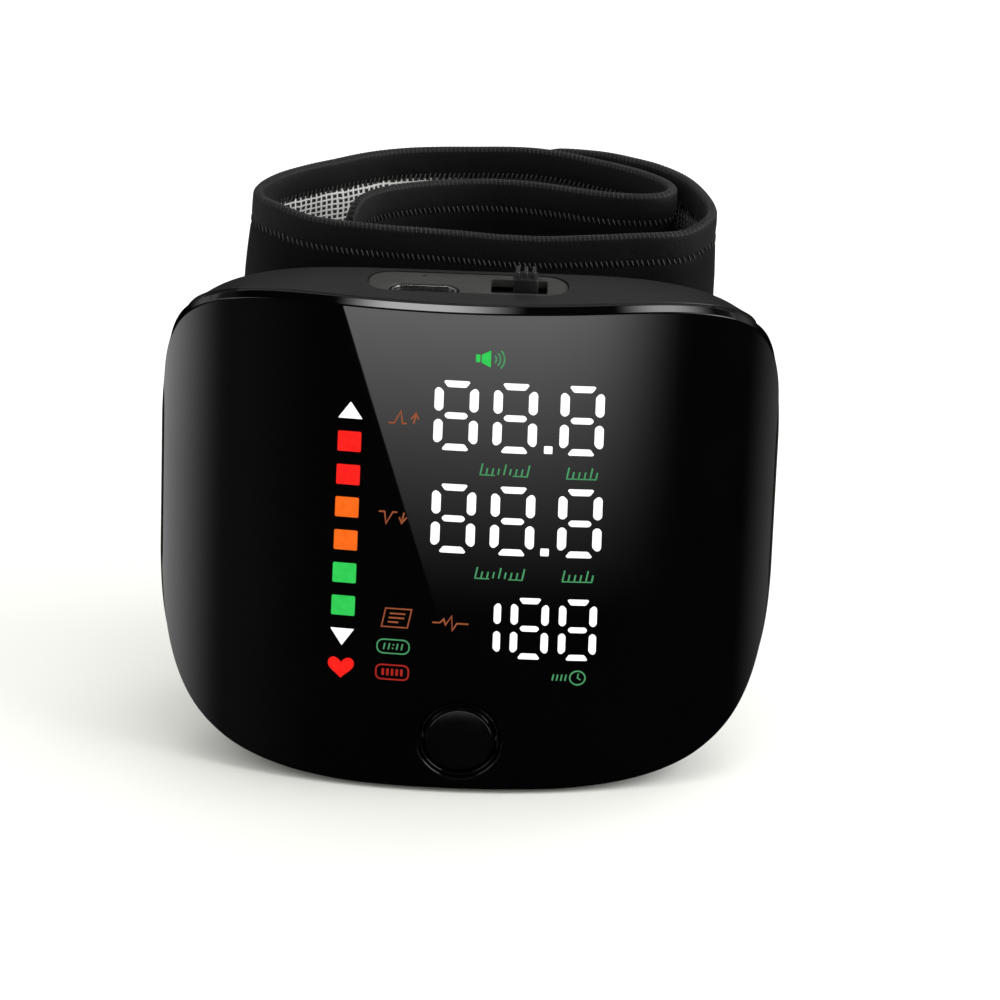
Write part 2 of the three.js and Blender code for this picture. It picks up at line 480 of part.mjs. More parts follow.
// ------------------------------------------------------------ cuff mount plate
let plate = S(facing(roundedRect(0, 41.5, 66.4, 65, 4), 22.3, 23.8))
  .subtract(S(rod(2.45, 15, 30, 'y', NOZZLE.x, 0, NOZZLE.z, 16)));
for (const [x, z] of PLATE_SCREWS) {
  plate = plate.subtract(S(rod(1.2, 15, 30, 'y', x, 0, z, 8))).subtract(S(rod(2.3, 22.8, 30, 'y', x, 0, z, 12)));
}
putSolid('cuff_mount_plate', plate, 'chip');
PLATE_SCREWS.forEach(([x, z], i) => put(`plate_screw_${i + 1}`, turned(
  [[0, 20.4], [0.9, 20.4], [0.9, 22.95], [1.95, 22.95], [1.95, 23.6], [0, 23.6]], 'y', x, 0, z, 10), 'steel'));

// ------------------------------------------------------------------- cuff
// layers of the strip are bands at an offset from its centre line, positive outwards
const line = new THREE.CatmullRomCurve3(STRIP.map(([x, d]) => new THREE.Vector3(x, d, 0)), false, 'centripetal');
line.arcLengthDivisions = 1600;
const STRIP_L = line.getLength();
const STEP = 3.2;             // stations along the strip, shared by all its layers
function band(s0, s1, o0, o1, z0, z1) {
  const stations = [s0];
  for (let k = 1; k * STEP < s1 - 0.6; k++) if (k * STEP > s0 + 0.6) stations.push(k * STEP);
  stations.push(s1);
  const near = [], far = [];
  for (const s of stations) {
    const u = s / STRIP_L;
    const p = line.getPointAt(u), t = line.getTangentAt(u);
    near.push(new THREE.Vector2(p.x - t.y * o0, p.y + t.x * o0));
    far.push(new THREE.Vector2(p.x - t.y * o1, p.y + t.x * o1));
  }
  return standing(new THREE.Shape([...near, ...far.reverse()]), z0, z1);
}
const half = CUFF_T / 2, skin = half - 0.4;
const hemLow = FOOT_Z + HEM, hemHigh = CUFF_TOP - HEM;
const rootStart = FLAP_CUT + 0.2, flapEnd = FLAP_CUT - 0.2;
const layer = (name, s0, s1, o0, o1, z0, z1, mat) => put(name, band(s0, s1, o0, o1, z0, z1), mat);
layer('cuff_cover', rootStart, STRIP_L, skin, half, hemLow + GAP, hemHigh - GAP, 'fabric');
layer('cuff_lining', rootStart, STRIP_L, -half, -skin, hemLow + GAP, hemHigh - GAP, 'mesh');
layer('cuff_top_binding', rootStart, STRIP_L, -half, half, hemHigh, CUFF_TOP, 'fabric');
layer('cuff_bottom_binding', rootStart, STRIP_L, -half, half, FOOT_Z, hemLow, 'fabric');
layer('curl_plate', 17 * STEP, 51 * STEP, 0.1, 0.35, FOOT_Z + 8, CUFF_TOP - 8, 'white');
layer('air_bladder', 18 * STEP, 61 * STEP, -0.35, -0.1, FOOT_Z + 10, CUFF_TOP - 10, 'rubber');
layer('loop_patch', 52 * STEP, 56 * STEP, half + 0.1, half + 0.4, FOOT_Z + 9, CUFF_TOP - 9, 'hook');
layer('flap_cover', 0, flapEnd, skin, half, hemLow + GAP, hemHigh - GAP, 'fabric');
layer('flap_lining', 0, flapEnd, -half, -skin, hemLow + GAP, hemHigh - GAP, 'mesh');
layer('flap_top_binding', 0, flapEnd, -half, half, hemHigh, CUFF_TOP, 'fabric');
layer('flap_bottom_binding', 0, flapEnd, -half, half, FOOT_Z, hemLow, 'fabric');
layer('hook_patch', 3 * STEP, 6 * STEP, -half - 0.4, -half - 0.1, FOOT_Z + 9, CUFF_TOP - 9, 'hook');

export default monitor;
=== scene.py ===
import json
import math

import bmesh
import bpy
import numpy as np
from mathutils import Matrix, Vector, noise
from mathutils.geometry import tessellate_polygon


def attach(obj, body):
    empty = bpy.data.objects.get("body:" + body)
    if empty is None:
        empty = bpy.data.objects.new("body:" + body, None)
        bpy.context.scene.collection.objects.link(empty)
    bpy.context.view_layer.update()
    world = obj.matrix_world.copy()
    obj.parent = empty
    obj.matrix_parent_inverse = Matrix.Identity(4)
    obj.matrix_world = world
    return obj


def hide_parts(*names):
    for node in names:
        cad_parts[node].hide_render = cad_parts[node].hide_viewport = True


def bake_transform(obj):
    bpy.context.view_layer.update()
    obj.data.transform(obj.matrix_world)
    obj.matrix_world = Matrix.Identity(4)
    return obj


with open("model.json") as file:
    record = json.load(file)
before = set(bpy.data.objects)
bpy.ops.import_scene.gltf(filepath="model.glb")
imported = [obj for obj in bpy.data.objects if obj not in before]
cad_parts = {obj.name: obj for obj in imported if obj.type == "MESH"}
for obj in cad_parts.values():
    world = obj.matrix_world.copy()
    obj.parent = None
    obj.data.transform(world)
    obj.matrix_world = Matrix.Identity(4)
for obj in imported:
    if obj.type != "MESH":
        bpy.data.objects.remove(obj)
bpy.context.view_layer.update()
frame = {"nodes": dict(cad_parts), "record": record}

MM = 0.001
SHIFT = 29.1            # depth of the frame's origin behind the panel's foremost point
FOOT_Z = 3.2            # heights below count from this far under the foot
scene = bpy.context.scene
NODES = frame["nodes"]


# --------------------------------------------------------------------- basics
def pt(x, d, z):
    """Point from x, depth behind the panel apex and height, all in millimetres."""
    return Vector((x * MM, (d - SHIFT) * MM, (z - FOOT_Z) * MM))


def smooth(t):
    u = min(1.0, max(0.0, t))
    return u * u * (3 - 2 * u)


def lerp(a, b, t):
    return a + (b - a) * t


def make(name, verts, faces, mats, index=None, sharp=38, uv=None, recalc=True, weld=None):
    """Mesh object from vertices in metres. mats is one material or a list, with index naming each face's."""
    me = bpy.data.meshes.new(name)
    me.from_pydata([tuple(v) for v in verts], [], [tuple(f) for f in faces])
    for m in mats if isinstance(mats, (list, tuple)) else [mats]:
        me.materials.append(m)
    if index is not None:
        me.polygons.foreach_set("material_index", list(index))
    if uv is not None:
        layer = me.uv_layers.new(name="strip")
        loops = np.zeros(len(me.loops), np.int32)
        me.loops.foreach_get("vertex_index", loops)
        layer.data.foreach_set("uv", np.array(uv, np.float32)[loops].ravel())
    if recalc or weld:
        bm = bmesh.new()
        bm.from_mesh(me)
        if weld:
            bmesh.ops.remove_doubles(bm, verts=bm.verts, dist=weld)
        if recalc:
            bmesh.ops.recalc_face_normals(bm, faces=bm.faces)
        bm.to_mesh(me)
        bm.free()
    me.shade_smooth()
    if sharp is not None:
        me.set_sharp_from_angle(angle=math.radians(sharp))
    me.validate()
    ob = bpy.data.objects.new(name, me)
    scene.collection.objects.link(ob)
    return ob


def apply_modifiers(ob):
    dg = bpy.context.evaluated_depsgraph_get()
    me = bpy.data.meshes.new_from_object(ob.evaluated_get(dg))
    old = ob.data
    ob.modifiers.clear()
    ob.data = me
    bpy.data.meshes.remove(old)


def cut(ob, tools):
    """Exact boolean difference of ob with each tool object, which is then removed."""
    for t in tools:
        m = ob.modifiers.new("cut", "BOOLEAN")
        m.operation, m.solver, m.object = "DIFFERENCE", "EXACT", t
    bpy.context.view_layer.update()
    apply_modifiers(ob)
    for t in tools:
        bpy.data.objects.remove(t)


def join_data(parts):
    """One (verts, faces) from several."""
    verts, faces = [], []
    for v, f in parts:
        base = len(verts)
        verts += list(v)
        faces += [tuple(i + base for i in face) for face in f]
    return verts, faces


# ------------------------------------------------------------- plane outlines
def rounded_rect(cx, cy, w, h, r, seg=8):
    pts = []
    for qx, qy, a0 in ((1, -1, -90), (1, 1, 0), (-1, 1, 90), (-1, -1, 180)):
        ox, oy = cx + qx * (w / 2 - r), cy + qy * (h / 2 - r)
        for i in range(seg + 1):
            a = math.radians(a0 + 90 * i / seg)
            pts.append((ox + r * math.cos(a), oy + r * math.sin(a)))
    out = []
    for p in pts:
        if not out or math.dist(p, out[-1]) > 1e-6:
            out.append(p)
    if math.dist(out[0], out[-1]) < 1e-6:
        out.pop()
    return out


def round_poly(pts, r, seg=3):
    """Polygon with its corners rounded."""
    out, n = [], len(pts)
    for i in range(n):
        p = Vector(pts[i])
        a, b = Vector(pts[i - 1]) - p, Vector(pts[(i + 1) % n]) - p
        k = min(r, 0.45 * a.length, 0.45 * b.length)
        s, e = p + a.normalized() * k, p + b.normalized() * k
        for j in range(seg + 1):
            t = j / seg
            out.append(tuple(s * (1 - t) ** 2 + p * 2 * t * (1 - t) + e * t * t))
    return out


def area2(loop):
    return sum(a[0] * b[1] - b[0] * a[1] for a, b in zip(loop, loop[1:] + loop[:1]))


def facing_way(loop, ccw):
    return list(loop) if (area2(loop) > 0) == ccw else list(loop)[::-1]


def inset_loop(loop, e):
    """Loop moved to its left by e."""
    out, n = [], len(loop)
    for i in range(n):
        p, a, b = Vector(loop[i]), Vector(loop[i - 1]), Vector(loop[(i + 1) % n])
        u, v = (p - a).normalized(), (b - p).normalized()
        na, nb = Vector((-u.y, u.x)), Vector((-v.y, v.x))
        m = na + nb
        if m.length < 1e-6:
            m = na
        m = m.normalized()
        out.append(tuple(p + m * (e / max(0.35, m.dot(na)))))
    return out


def prism(outer, holes, a, b, place, bevel=0.0, seg=3, both=False):
    """Solid of a plane outline with holes between two levels a and b; the edge at level b is rounded by bevel, and at a too with both.
    place(u, v, level) gives a point."""
    loops = [facing_way(outer, True)] + [facing_way(h, False) for h in holes]
    way = 1 if b > a else -1
    levels = []
    if both and bevel:
        levels += [(bevel * (1 - math.sin(t)), a + way * bevel * (1 - math.cos(t)))
                   for t in (math.pi / 2 * i / seg for i in range(seg + 1))]
    else:
        levels.append((0.0, a))
    if bevel:
        levels += [(bevel * (1 - math.cos(t)), b - way * bevel * (1 - math.sin(t)))
                   for t in (math.pi / 2 * i / seg for i in range(seg + 1))]
    else:
        levels.append((0.0, b))
    verts, faces, rings = [], [], []
    for e, h in levels:
        ring = []
        for loop in loops:
            moved = inset_loop(loop, e) if e > 1e-9 else loop
            ring.append(list(range(len(verts), len(verts) + len(moved))))
            verts += [place(p[0], p[1], h) for p in moved]
        rings.append(ring)
    for lo, hi in zip(rings, rings[1:]):
        for l, h in zip(lo, hi):
            n = len(l)
            faces += [(l[i], l[(i + 1) % n], h[(i + 1) % n], h[i]) for i in range(n)]
    for ring, e in ((rings[0], levels[0][0]), (rings[-1], levels[-1][0])):
        flat = [[Vector((*p, 0)) for p in (inset_loop(l, e) if e > 1e-9 else l)] for l in loops]
        ids = [i for r in ring for i in r]
        for tri in tessellate_polygon(flat):
            faces.append(tuple(ids[k] for k in tri))
    return verts, faces


def standing(u, v, h):
    return pt(u, v, h)


def facing(u, v, h):
    return pt(u, h, v)


def stroke(points, w, closed=False):
    """Outline of a drawn line of width w: (outer, holes)."""
    n = len(points)
    left, right = [], []
    for i in range(n):
        p = Vector(points[i])
        a = Vector(points[i - 1]) if (closed or i) else None
        b = Vector(points[(i + 1) % n]) if (closed or i < n - 1) else None
        u = (p - a).normalized() if a is not None else (b - p).normalized()
        v = (b - p).normalized() if b is not None else u
        na, nb = Vector((-u.y, u.x)), Vector((-v.y, v.x))
        m = (na + nb).normalized()
        k = w / 2 / max(0.5, m.dot(na))
        left.append(tuple(p + m * k))
        right.append(tuple(p - m * k))
    if closed:
        big, small = (right, left) if abs(area2(right)) > abs(area2(left)) else (left, right)
        return big, [small]
    return left + right[::-1], []


def lathe(profile, place, sides=96):
    """Turned skin; profile is (radius, level) pairs, place(u, v, level) a point for plane coordinates about the axis."""
    verts, faces, rings = [], [], []
    for r, h in profile:
        if r < 1e-6:
            rings.append([len(verts)])
            verts.append(place(0, 0, h))
        else:
            rings.append(list(range(len(verts), len(verts) + sides)))
            verts += [place(r * math.cos(2 * math.pi * i / sides), r * math.sin(2 * math.pi * i / sides), h) for i in range(sides)]
    for a, b in zip(rings, rings[1:]):
        for i in range(sides):
            k = (i + 1) % sides
            if len(a) == 1 and len(b) == 1:
                continue
            if len(a) == 1:
                faces.append((a[0], b[i], b[k]))
            elif len(b) == 1:
                faces.append((a[i], a[k], b[0]))
            else:
                faces.append((a[i], a[k], b[k], b[i]))
    return verts, faces


def curve_through(pts, n):
    """Smooth profile through (a, b) pairs, resampled to n points (Catmull-Rom)."""
    p = [np.array(q, float) for q in pts]
    p = [2 * p[0] - p[1]] + p + [2 * p[-1] - p[-2]]
    out = []
    segs = len(p) - 3
    for i in range(n):
        t = i / (n - 1) * segs
        k = min(int(t), segs - 1)
        f = t - k
        a, b, c, d = p[k:k + 4]
        out.append(tuple(0.5 * (2 * b + (c - a) * f + (2 * a - 5 * b + 4 * c - d) * f * f + (3 * b - a - 3 * c + d) * f ** 3)))
    return out


def rounded_box(x0, x1, d0, d1, z0, z1, r, seg=3):
    bm = bmesh.new()
    bmesh.ops.create_cube(bm, size=1)
    for v in bm.verts:
        v.co = pt(lerp(x0, x1, v.co.x + 0.5), lerp(d0, d1, v.co.y + 0.5), lerp(z0, z1, v.co.z + 0.5))
    bmesh.ops.bevel(bm, geom=bm.edges[:] + bm.verts[:], offset=r * MM, segments=seg, profile=0.5, affect="EDGES", clamp_overlap=True)
    bm.verts.ensure_lookup_table()
    out = [v.co.copy() for v in bm.verts], [tuple(v.index for v in f.verts) for f in bm.faces]
    bm.free()
    return out


# ------------------------------------------------------------------ materials
def nodes_of(name):
    m = bpy.data.materials.new(name)
    m.use_nodes = True
    nt = m.node_tree
    b = next(n for n in nt.nodes if n.type == "BSDF_PRINCIPLED")
    return m, nt, b


def coords(nt, kind="Object"):
    n = nt.nodes.new("ShaderNodeTexCoord")
    return n.outputs[kind]


def noise_tex(nt, vec, scale, detail=3.0, rough=0.55):
    n = nt.nodes.new("ShaderNodeTexNoise")
    n.inputs["Scale"].default_value = scale
    n.inputs["Detail"].default_value = detail
    n.inputs["Roughness"].default_value = rough
    nt.links.new(vec, n.inputs["Vector"])
    return n.outputs["Fac"]


def ramp(nt, fac, stops):
    n = nt.nodes.new("ShaderNodeValToRGB")
    el = n.color_ramp.elements
    while len(el) < len(stops):
        el.new(0.5)
    for e, (p, c) in zip(el, stops):
        e.position = p
        e.color = (*c, 1) if len(c) == 3 else c
    nt.links.new(fac, n.inputs["Fac"])
    return n.outputs["Color"]


def span(nt, fac, a, b, lo=0.0, hi=1.0):
    n = nt.nodes.new("ShaderNodeMapRange")
    n.inputs["From Min"].default_value = lo
    n.inputs["From Max"].default_value = hi
    n.inputs["To Min"].default_value = a
    n.inputs["To Max"].default_value = b
    nt.links.new(fac, n.inputs["Value"])
    return n.outputs["Result"]


def math_node(nt, op, a, b=None, c=None):
    n = nt.nodes.new("ShaderNodeMath")
    n.operation = op
    for i, v in enumerate((a, b, c)):
        if v is None:
            continue
        if isinstance(v, (int, float)):
            n.inputs[i].default_value = v
        else:
            nt.links.new(v, n.inputs[i])
    return n.outputs[0]


def add_bump(nt, b, height, strength, distance):
    n = nt.nodes.new("ShaderNodeBump")
    n.inputs["Strength"].default_value = strength
    n.inputs["Distance"].default_value = distance
    nt.links.new(height, n.inputs["Height"])
    nt.links.new(n.outputs["Normal"], b.inputs["Normal"])


def plastic(name, dark, light, rough, grain=2600, patch=90, bump=0.12, spec=0.5, depth=0.00006, coat=0.0):
    """Moulded plastic: cloudy colour, uneven gloss and a fine moulded grain."""
    m, nt, b = nodes_of(name)
    v = coords(nt)
    cloud = noise_tex(nt, v, patch, 4)
    fine = noise_tex(nt, v, grain, 2)
    mix = math_node(nt, "MULTIPLY_ADD", fine, 0.35, math_node(nt, "MULTIPLY", cloud, 0.65))
    nt.links.new(ramp(nt, mix, [(0.3, dark), (0.7, light)]), b.inputs["Base Color"])
    nt.links.new(span(nt, cloud, rough[0], rough[1], 0.3, 0.7), b.inputs["Roughness"])
    b.inputs["Specular IOR Level"].default_value = spec
    if coat:
        b.inputs["Coat Weight"].default_value = coat
        b.inputs["Coat Roughness"].default_value = 0.05
    if bump:
        add_bump(nt, b, fine, bump, depth)
    return m


def metal(name, dark, light, rough, scale=(300, 300, 4000)):
    m, nt, b = nodes_of(name)
    mp = nt.nodes.new("ShaderNodeMapping")
    mp.inputs["Scale"].default_value = scale
    nt.links.new(coords(nt), mp.inputs["Vector"])
    brushed = noise_tex(nt, mp.outputs["Vector"], 1.0, 3)
    nt.links.new(ramp(nt, brushed, [(0.3, dark), (0.7, light)]), b.inputs["Base Color"])
    nt.links.new(span(nt, brushed, rough[0], rough[1], 0.3, 0.7), b.inputs["Roughness"])
    b.inputs["Metallic"].default_value = 1.0
    add_bump(nt, b, brushed, 0.08, 0.00003)
    return m


def lit(name, dark, light, strength, base):
    """Lit diffuser: a slightly uneven glow under a glossy skin."""
    m, nt, b = nodes_of(name)
    glow = noise_tex(nt, coords(nt), 900, 2)
    nt.links.new(ramp(nt, glow, [(0.3, dark), (0.7, light)]), b.inputs["Emission Color"])
    b.inputs["Emission Strength"].default_value = strength
    b.inputs["Base Color"].default_value = (*base, 1)
    b.inputs["Roughness"].default_value = 0.35
    b.inputs["Specular IOR Level"].default_value = 0.2
    return m


def wave(nt, value, period, phase=0.0):
    """0..1 sine of a coordinate in millimetres."""
    return math_node(nt, "MULTIPLY_ADD", math_node(nt, "SINE", math_node(nt, "MULTIPLY_ADD", value, 2 * math.pi / period, phase)), 0.5, 0.5)


def strip_axes(nt):
    """The strip's own coordinates in millimetres: along it, and up it."""
    n = nt.nodes.new("ShaderNodeUVMap")
    n.uv_map = "strip"
    s = nt.nodes.new("ShaderNodeSeparateXYZ")
    nt.links.new(n.outputs["UV"], s.inputs[0])
    return math_node(nt, "MULTIPLY", s.outputs["X"], 300.0), math_node(nt, "MULTIPLY", s.outputs["Y"], 300.0)


def cloth(name, dark, light, period, rough=0.86, sheen=0.25, strength=0.35, pucker_scale=26, spec=0.2):
    """Woven cloth: crossing yarns at a fixed pitch, uneven dye, fluffy sheen and puckers; where the cloud raises the
    puckers it also lightens the colour, a painted highlight.
    """
    m, nt, b = nodes_of(name)
    s, z = strip_axes(nt)
    warp, weft = wave(nt, math_node(nt, "ADD", s, z), period), wave(nt, math_node(nt, "SUBTRACT", s, z), period)
    weave = math_node(nt, "MAXIMUM", math_node(nt, "MULTIPLY", warp, 1.0), math_node(nt, "MULTIPLY", weft, 0.8))
    v = coords(nt)
    cloud = noise_tex(nt, v, pucker_scale, 5, 0.6)
    fuzz = noise_tex(nt, v, 1800, 3)
    # the cloud term is partly uneven dye and partly painted highlight on the puckers it raises
    tone = math_node(nt, "MULTIPLY_ADD", weave, 0.35, math_node(nt, "MULTIPLY_ADD", cloud, 0.4, math_node(nt, "MULTIPLY", fuzz, 0.25)))
    nt.links.new(ramp(nt, tone, [(0.3, dark), (0.75, light)]), b.inputs["Base Color"])
    nt.links.new(span(nt, fuzz, rough - 0.06, rough + 0.08, 0.3, 0.7), b.inputs["Roughness"])
    b.inputs["Specular IOR Level"].default_value = spec
    b.inputs["Sheen Weight"].default_value = sheen
    b.inputs["Sheen Roughness"].default_value = 0.45
    b.inputs["Sheen Tint"].default_value = (0.8, 0.8, 0.82, 1)
    height = math_node(nt, "MULTIPLY_ADD", weave, 0.5, math_node(nt, "MULTIPLY_ADD", cloud, 1.6, math_node(nt, "MULTIPLY", fuzz, 0.45)))
    add_bump(nt, b, height, strength, 0.00025)
    return m


LINING_SHADE_S = 140        # the lining's pale yarn ends about here along the strip; past it, and before s 84, the lining is painted dark as shade


def mesh_cloth(name):
    """Spacer mesh: pale yarn grid with dark holes, painted dark as shade outside a stretch along the strip."""
    m, nt, b = nodes_of(name)
    s, z = strip_axes(nt)
    v = coords(nt)
    wob = span(nt, noise_tex(nt, v, 220, 4), -0.6, 0.6)
    a = wave(nt, math_node(nt, "ADD", s, wob), 0.92)
    c = wave(nt, math_node(nt, "MULTIPLY_ADD", wob, 0.8, z), 0.8)
    yarn = math_node(nt, "MAXIMUM", a, c)
    patchy = noise_tex(nt, v, 70, 4)
    fibre = noise_tex(nt, v, 2600, 2)
    level = math_node(nt, "MULTIPLY_ADD", patchy, 0.35, math_node(nt, "MULTIPLY_ADD", fibre, 0.25, math_node(nt, "MULTIPLY", yarn, 0.75)))
    shade = nt.nodes.new("ShaderNodeMix")
    shade.data_type = "RGBA"
    # painted shade: the lining is pale only between s 84 and the shade limit; elsewhere the darker ramp stands in for
    # the shade it lies in
    unshaded = math_node(nt, "MULTIPLY", span(nt, s, 0.0, 1.0, 84, 100), span(nt, s, 1.0, 0.0, LINING_SHADE_S, LINING_SHADE_S + 14))
    nt.links.new(unshaded, shade.inputs["Factor"])
    for k, stops in ((6, [(0.62, (0.003, 0.003, 0.003)), (0.98, (0.012, 0.012, 0.012))]),
                     (7, [(0.68, (0.004, 0.004, 0.004)), (0.8, (0.09, 0.09, 0.09)), (0.95, (0.8, 0.8, 0.78))])):
        nt.links.new(ramp(nt, level, stops), shade.inputs[k])
    nt.links.new(shade.outputs[2], b.inputs["Base Color"])
    b.inputs["Roughness"].default_value = 0.8
    b.inputs["Sheen Weight"].default_value = 0.2
    add_bump(nt, b, yarn, 0.6, 0.0003)
    return m


def fuzzy(name, dark, light, scale, strength):
    """Hook or loop pile."""
    m, nt, b = nodes_of(name)
    v = coords(nt)
    vor = nt.nodes.new("ShaderNodeTexVoronoi")
    vor.inputs["Scale"].default_value = scale
    nt.links.new(v, vor.inputs["Vector"])
    pile = math_node(nt, "MULTIPLY_ADD", noise_tex(nt, v, scale * 2.2, 3), 0.5, math_node(nt, "MULTIPLY", vor.outputs["Distance"], 0.8))
    nt.links.new(ramp(nt, pile, [(0.3, dark), (0.8, light)]), b.inputs["Base Color"])
    nt.links.new(span(nt, pile, 0.75, 0.95), b.inputs["Roughness"])
    b.inputs["Sheen Weight"].default_value = 0.3
    add_bump(nt, b, pile, strength, 0.0004)
    return m


def board_material(name):
    """Circuit board: solder mask with darker copper runs under it."""
    m, nt, b = nodes_of(name)
    v = coords(nt)
    br = nt.nodes.new("ShaderNodeTexBrick")
    br.inputs["Scale"].default_value = 260
    br.inputs["Color1"].default_value = (0.02, 0.16, 0.07, 1)
    br.inputs["Color2"].default_value = (0.03, 0.2, 0.09, 1)
    br.inputs["Mortar"].default_value = (0.05, 0.28, 0.12, 1)
    nt.links.new(v, br.inputs["Vector"])
    nt.links.new(br.outputs["Color"], b.inputs["Base Color"])
    nt.links.new(span(nt, noise_tex(nt, v, 400), 0.3, 0.5), b.inputs["Roughness"])
    return m


M = {
    "gloss_black": plastic("smoked_gloss", (0.0008, 0.0008, 0.0009), (0.0014, 0.0013, 0.0013), (0.012, 0.024), grain=700, patch=60, bump=0),
    "button_gloss": plastic("button_gloss", (0.0012, 0.0012, 0.0013), (0.002, 0.002, 0.002), (0.05, 0.08), grain=700, patch=80, bump=0.01, depth=0.00002),
    "satin_grey": plastic("satin_case", (0.0086, 0.0088, 0.0085), (0.0126, 0.0128, 0.0125), (0.34, 0.44), grain=4200, patch=110, bump=0.16),
    "inlay_grey": plastic("satin_inlay", (0.033, 0.0330, 0.0320), (0.043, 0.0430, 0.0415), (0.4, 0.5), grain=4200, patch=140, bump=0.16),
    "black_plastic": plastic("moulded_black", (0.006, 0.006, 0.006), (0.012, 0.012, 0.012), (0.4, 0.55), grain=3600, patch=200, bump=0.14),
    "white_plastic": plastic("moulded_white", (0.62, 0.62, 0.6), (0.74, 0.74, 0.72), (0.4, 0.55)),
    "rubber": plastic("moulded_rubber", (0.02, 0.02, 0.02), (0.035, 0.035, 0.035), (0.7, 0.85), bump=0.2),
    "hose": plastic("silicone_hose", (0.55, 0.54, 0.5), (0.68, 0.67, 0.63), (0.35, 0.5), bump=0.05),
    "circuit_board": board_material("solder_mask"),
    "cell_wrap": metal("cell_foil", (0.5, 0.51, 0.53), (0.7, 0.71, 0.73), (0.35, 0.55), (120, 120, 120)),
    "steel": metal("plated_steel", (0.36, 0.36, 0.35), (0.56, 0.56, 0.55), (0.2, 0.34)),
    "brass": metal("turned_brass", (0.5, 0.34, 0.12), (0.72, 0.52, 0.22), (0.2, 0.34)),
    "lit_white": lit("lit_white", (0.93, 0.95, 0.99), (1.0, 1.0, 1.0), 1.25, (0.05, 0.05, 0.05)),
    "lit_red": lit("lit_red", (0.93, 0.008, 0.006), (1.0, 0.016, 0.01), 1.0, (0.02, 0.002, 0.002)),
    "lit_orange": lit("lit_orange", (0.93, 0.13, 0.004), (1.0, 0.16, 0.01), 1.0, (0.02, 0.006, 0.002)),
    "lit_green": lit("lit_green", (0.024, 0.56, 0.075), (0.032, 0.64, 0.1), 1.0, (0.003, 0.02, 0.005)),
    "dim_green": lit("dim_green", (0.08, 0.40, 0.16), (0.12, 0.52, 0.22), 0.62, (0.003, 0.02, 0.005)),
    "lit_amber": lit("lit_amber", (0.42, 0.10, 0.035), (0.56, 0.15, 0.06), 0.6, (0.02, 0.006, 0.002)),
    "dim_red": lit("dim_red", (0.6, 0.02, 0.012), (0.75, 0.03, 0.02), 0.55, (0.02, 0.003, 0.003)),
    "cuff_fabric": cloth("cuff_cover", (0.0006, 0.0006, 0.0006), (0.0026, 0.0026, 0.0027), 0.42, rough=0.66, sheen=0.03, strength=0.2, spec=0.22),
    "cuff_hem": cloth("cuff_binding", (0.001, 0.001, 0.001), (0.0046, 0.0046, 0.0047), 0.36, rough=0.5, sheen=0.055, strength=0.42, pucker_scale=75, spec=0.36),
    "mesh_lining": mesh_cloth("cuff_mesh"),
    "stitch_thread": plastic("sewing_thread", (0.012, 0.012, 0.012), (0.075, 0.075, 0.074), (0.6, 0.8), grain=5200, patch=170, bump=0.3),
    "hook_loop": fuzzy("pile_tape", (0.006, 0.006, 0.006), (0.025, 0.025, 0.026), 1500, 0.6),
    # the knob's ribs: the slider's black plastic made lighter, as painted light on its lit top
    "knob_ribs_lit_grey": plastic("knob_ribs_painted_light", (0.016, 0.016, 0.016), (0.026, 0.026, 0.026), (0.34, 0.46), grain=3600, patch=200, bump=0.14),
    # near-black colour for hollows: painted shade
    "shadow": plastic("cavity_painted_shade", (0.0015, 0.0015, 0.0015), (0.003, 0.003, 0.003), (0.6, 0.8)),
    "deck_mark": plastic("deck_print", (0.012, 0.012, 0.012), (0.018, 0.018, 0.018), (0.5, 0.6)),
}

# --------------------------------------------------------------- casing forms
MID_Z, UP_H, DOWN_H, SQUARE, SQUARE_REAR = 44.0, 36.0, 40.9, 5.8, 4.5
SIN33 = 0.33
COS33 = math.sqrt(1 - SIN33 * SIN33)
BULGE_R, SIDE_R = 100.0, 20.76
SIDE_CX = 33 - SIDE_R * SIN33
SIDE_CD = BULGE_R * (1 - COS33) + SIDE_R * COS33
DECK_D, COVER_D, BACK_D = 16.5, 16.8, 22.0
U_SPLIT = BULGE_R * math.asin(SIN33)


def top_z(x):
    return MID_Z + UP_H * max(0.0, 1 - (abs(x) / 45) ** SQUARE) ** (1 / SQUARE)


def bottom_z(x):
    return max(FOOT_Z, MID_Z - DOWN_H * max(0.0, 1 - (abs(x) / 45) ** 4) ** 0.25)


def side_x(z):
    if z >= MID_Z:
        x = 45 * max(0.0, 1 - ((z - MID_Z) / UP_H) ** SQUARE) ** (1 / SQUARE)
    else:
        x = 45 * max(0.0, 1 - ((MID_Z - z) / DOWN_H) ** 4) ** 0.25
    return min(44.95, x)


def face(x, off=0.0):
    """(depth, sine, cosine) of the front face, offset inwards by off, at x."""
    a, sg = abs(x), (1 if x >= 0 else -1)
    if a <= (BULGE_R - off) * SIN33:
        s = a / (BULGE_R - off)
        c = math.sqrt(1 - s * s)
        return BULGE_R - (BULGE_R - off) * c, sg * s, c
    s = min(0.9999, (a - SIDE_CX) / (SIDE_R - off))
    c = math.sqrt(1 - s * s)
    return SIDE_CD - (SIDE_R - off) * c, sg * s, c


def u_of_x(x):
    a, sg = abs(x), (1 if x >= 0 else -1)
    if a <= 33:
        return sg * BULGE_R * math.asin(a / BULGE_R)
    return sg * (U_SPLIT + SIDE_R * (math.asin(min(1, (a - SIDE_CX) / SIDE_R)) - math.asin(SIN33)))


def x_of_u(u):
    a, sg = abs(u), (1 if u >= 0 else -1)
    if a <= U_SPLIT:
        return sg * BULGE_R * math.sin(a / BULGE_R)
    return sg * (SIDE_CX + SIDE_R * math.sin((a - U_SPLIT) / SIDE_R + math.asin(SIN33)))


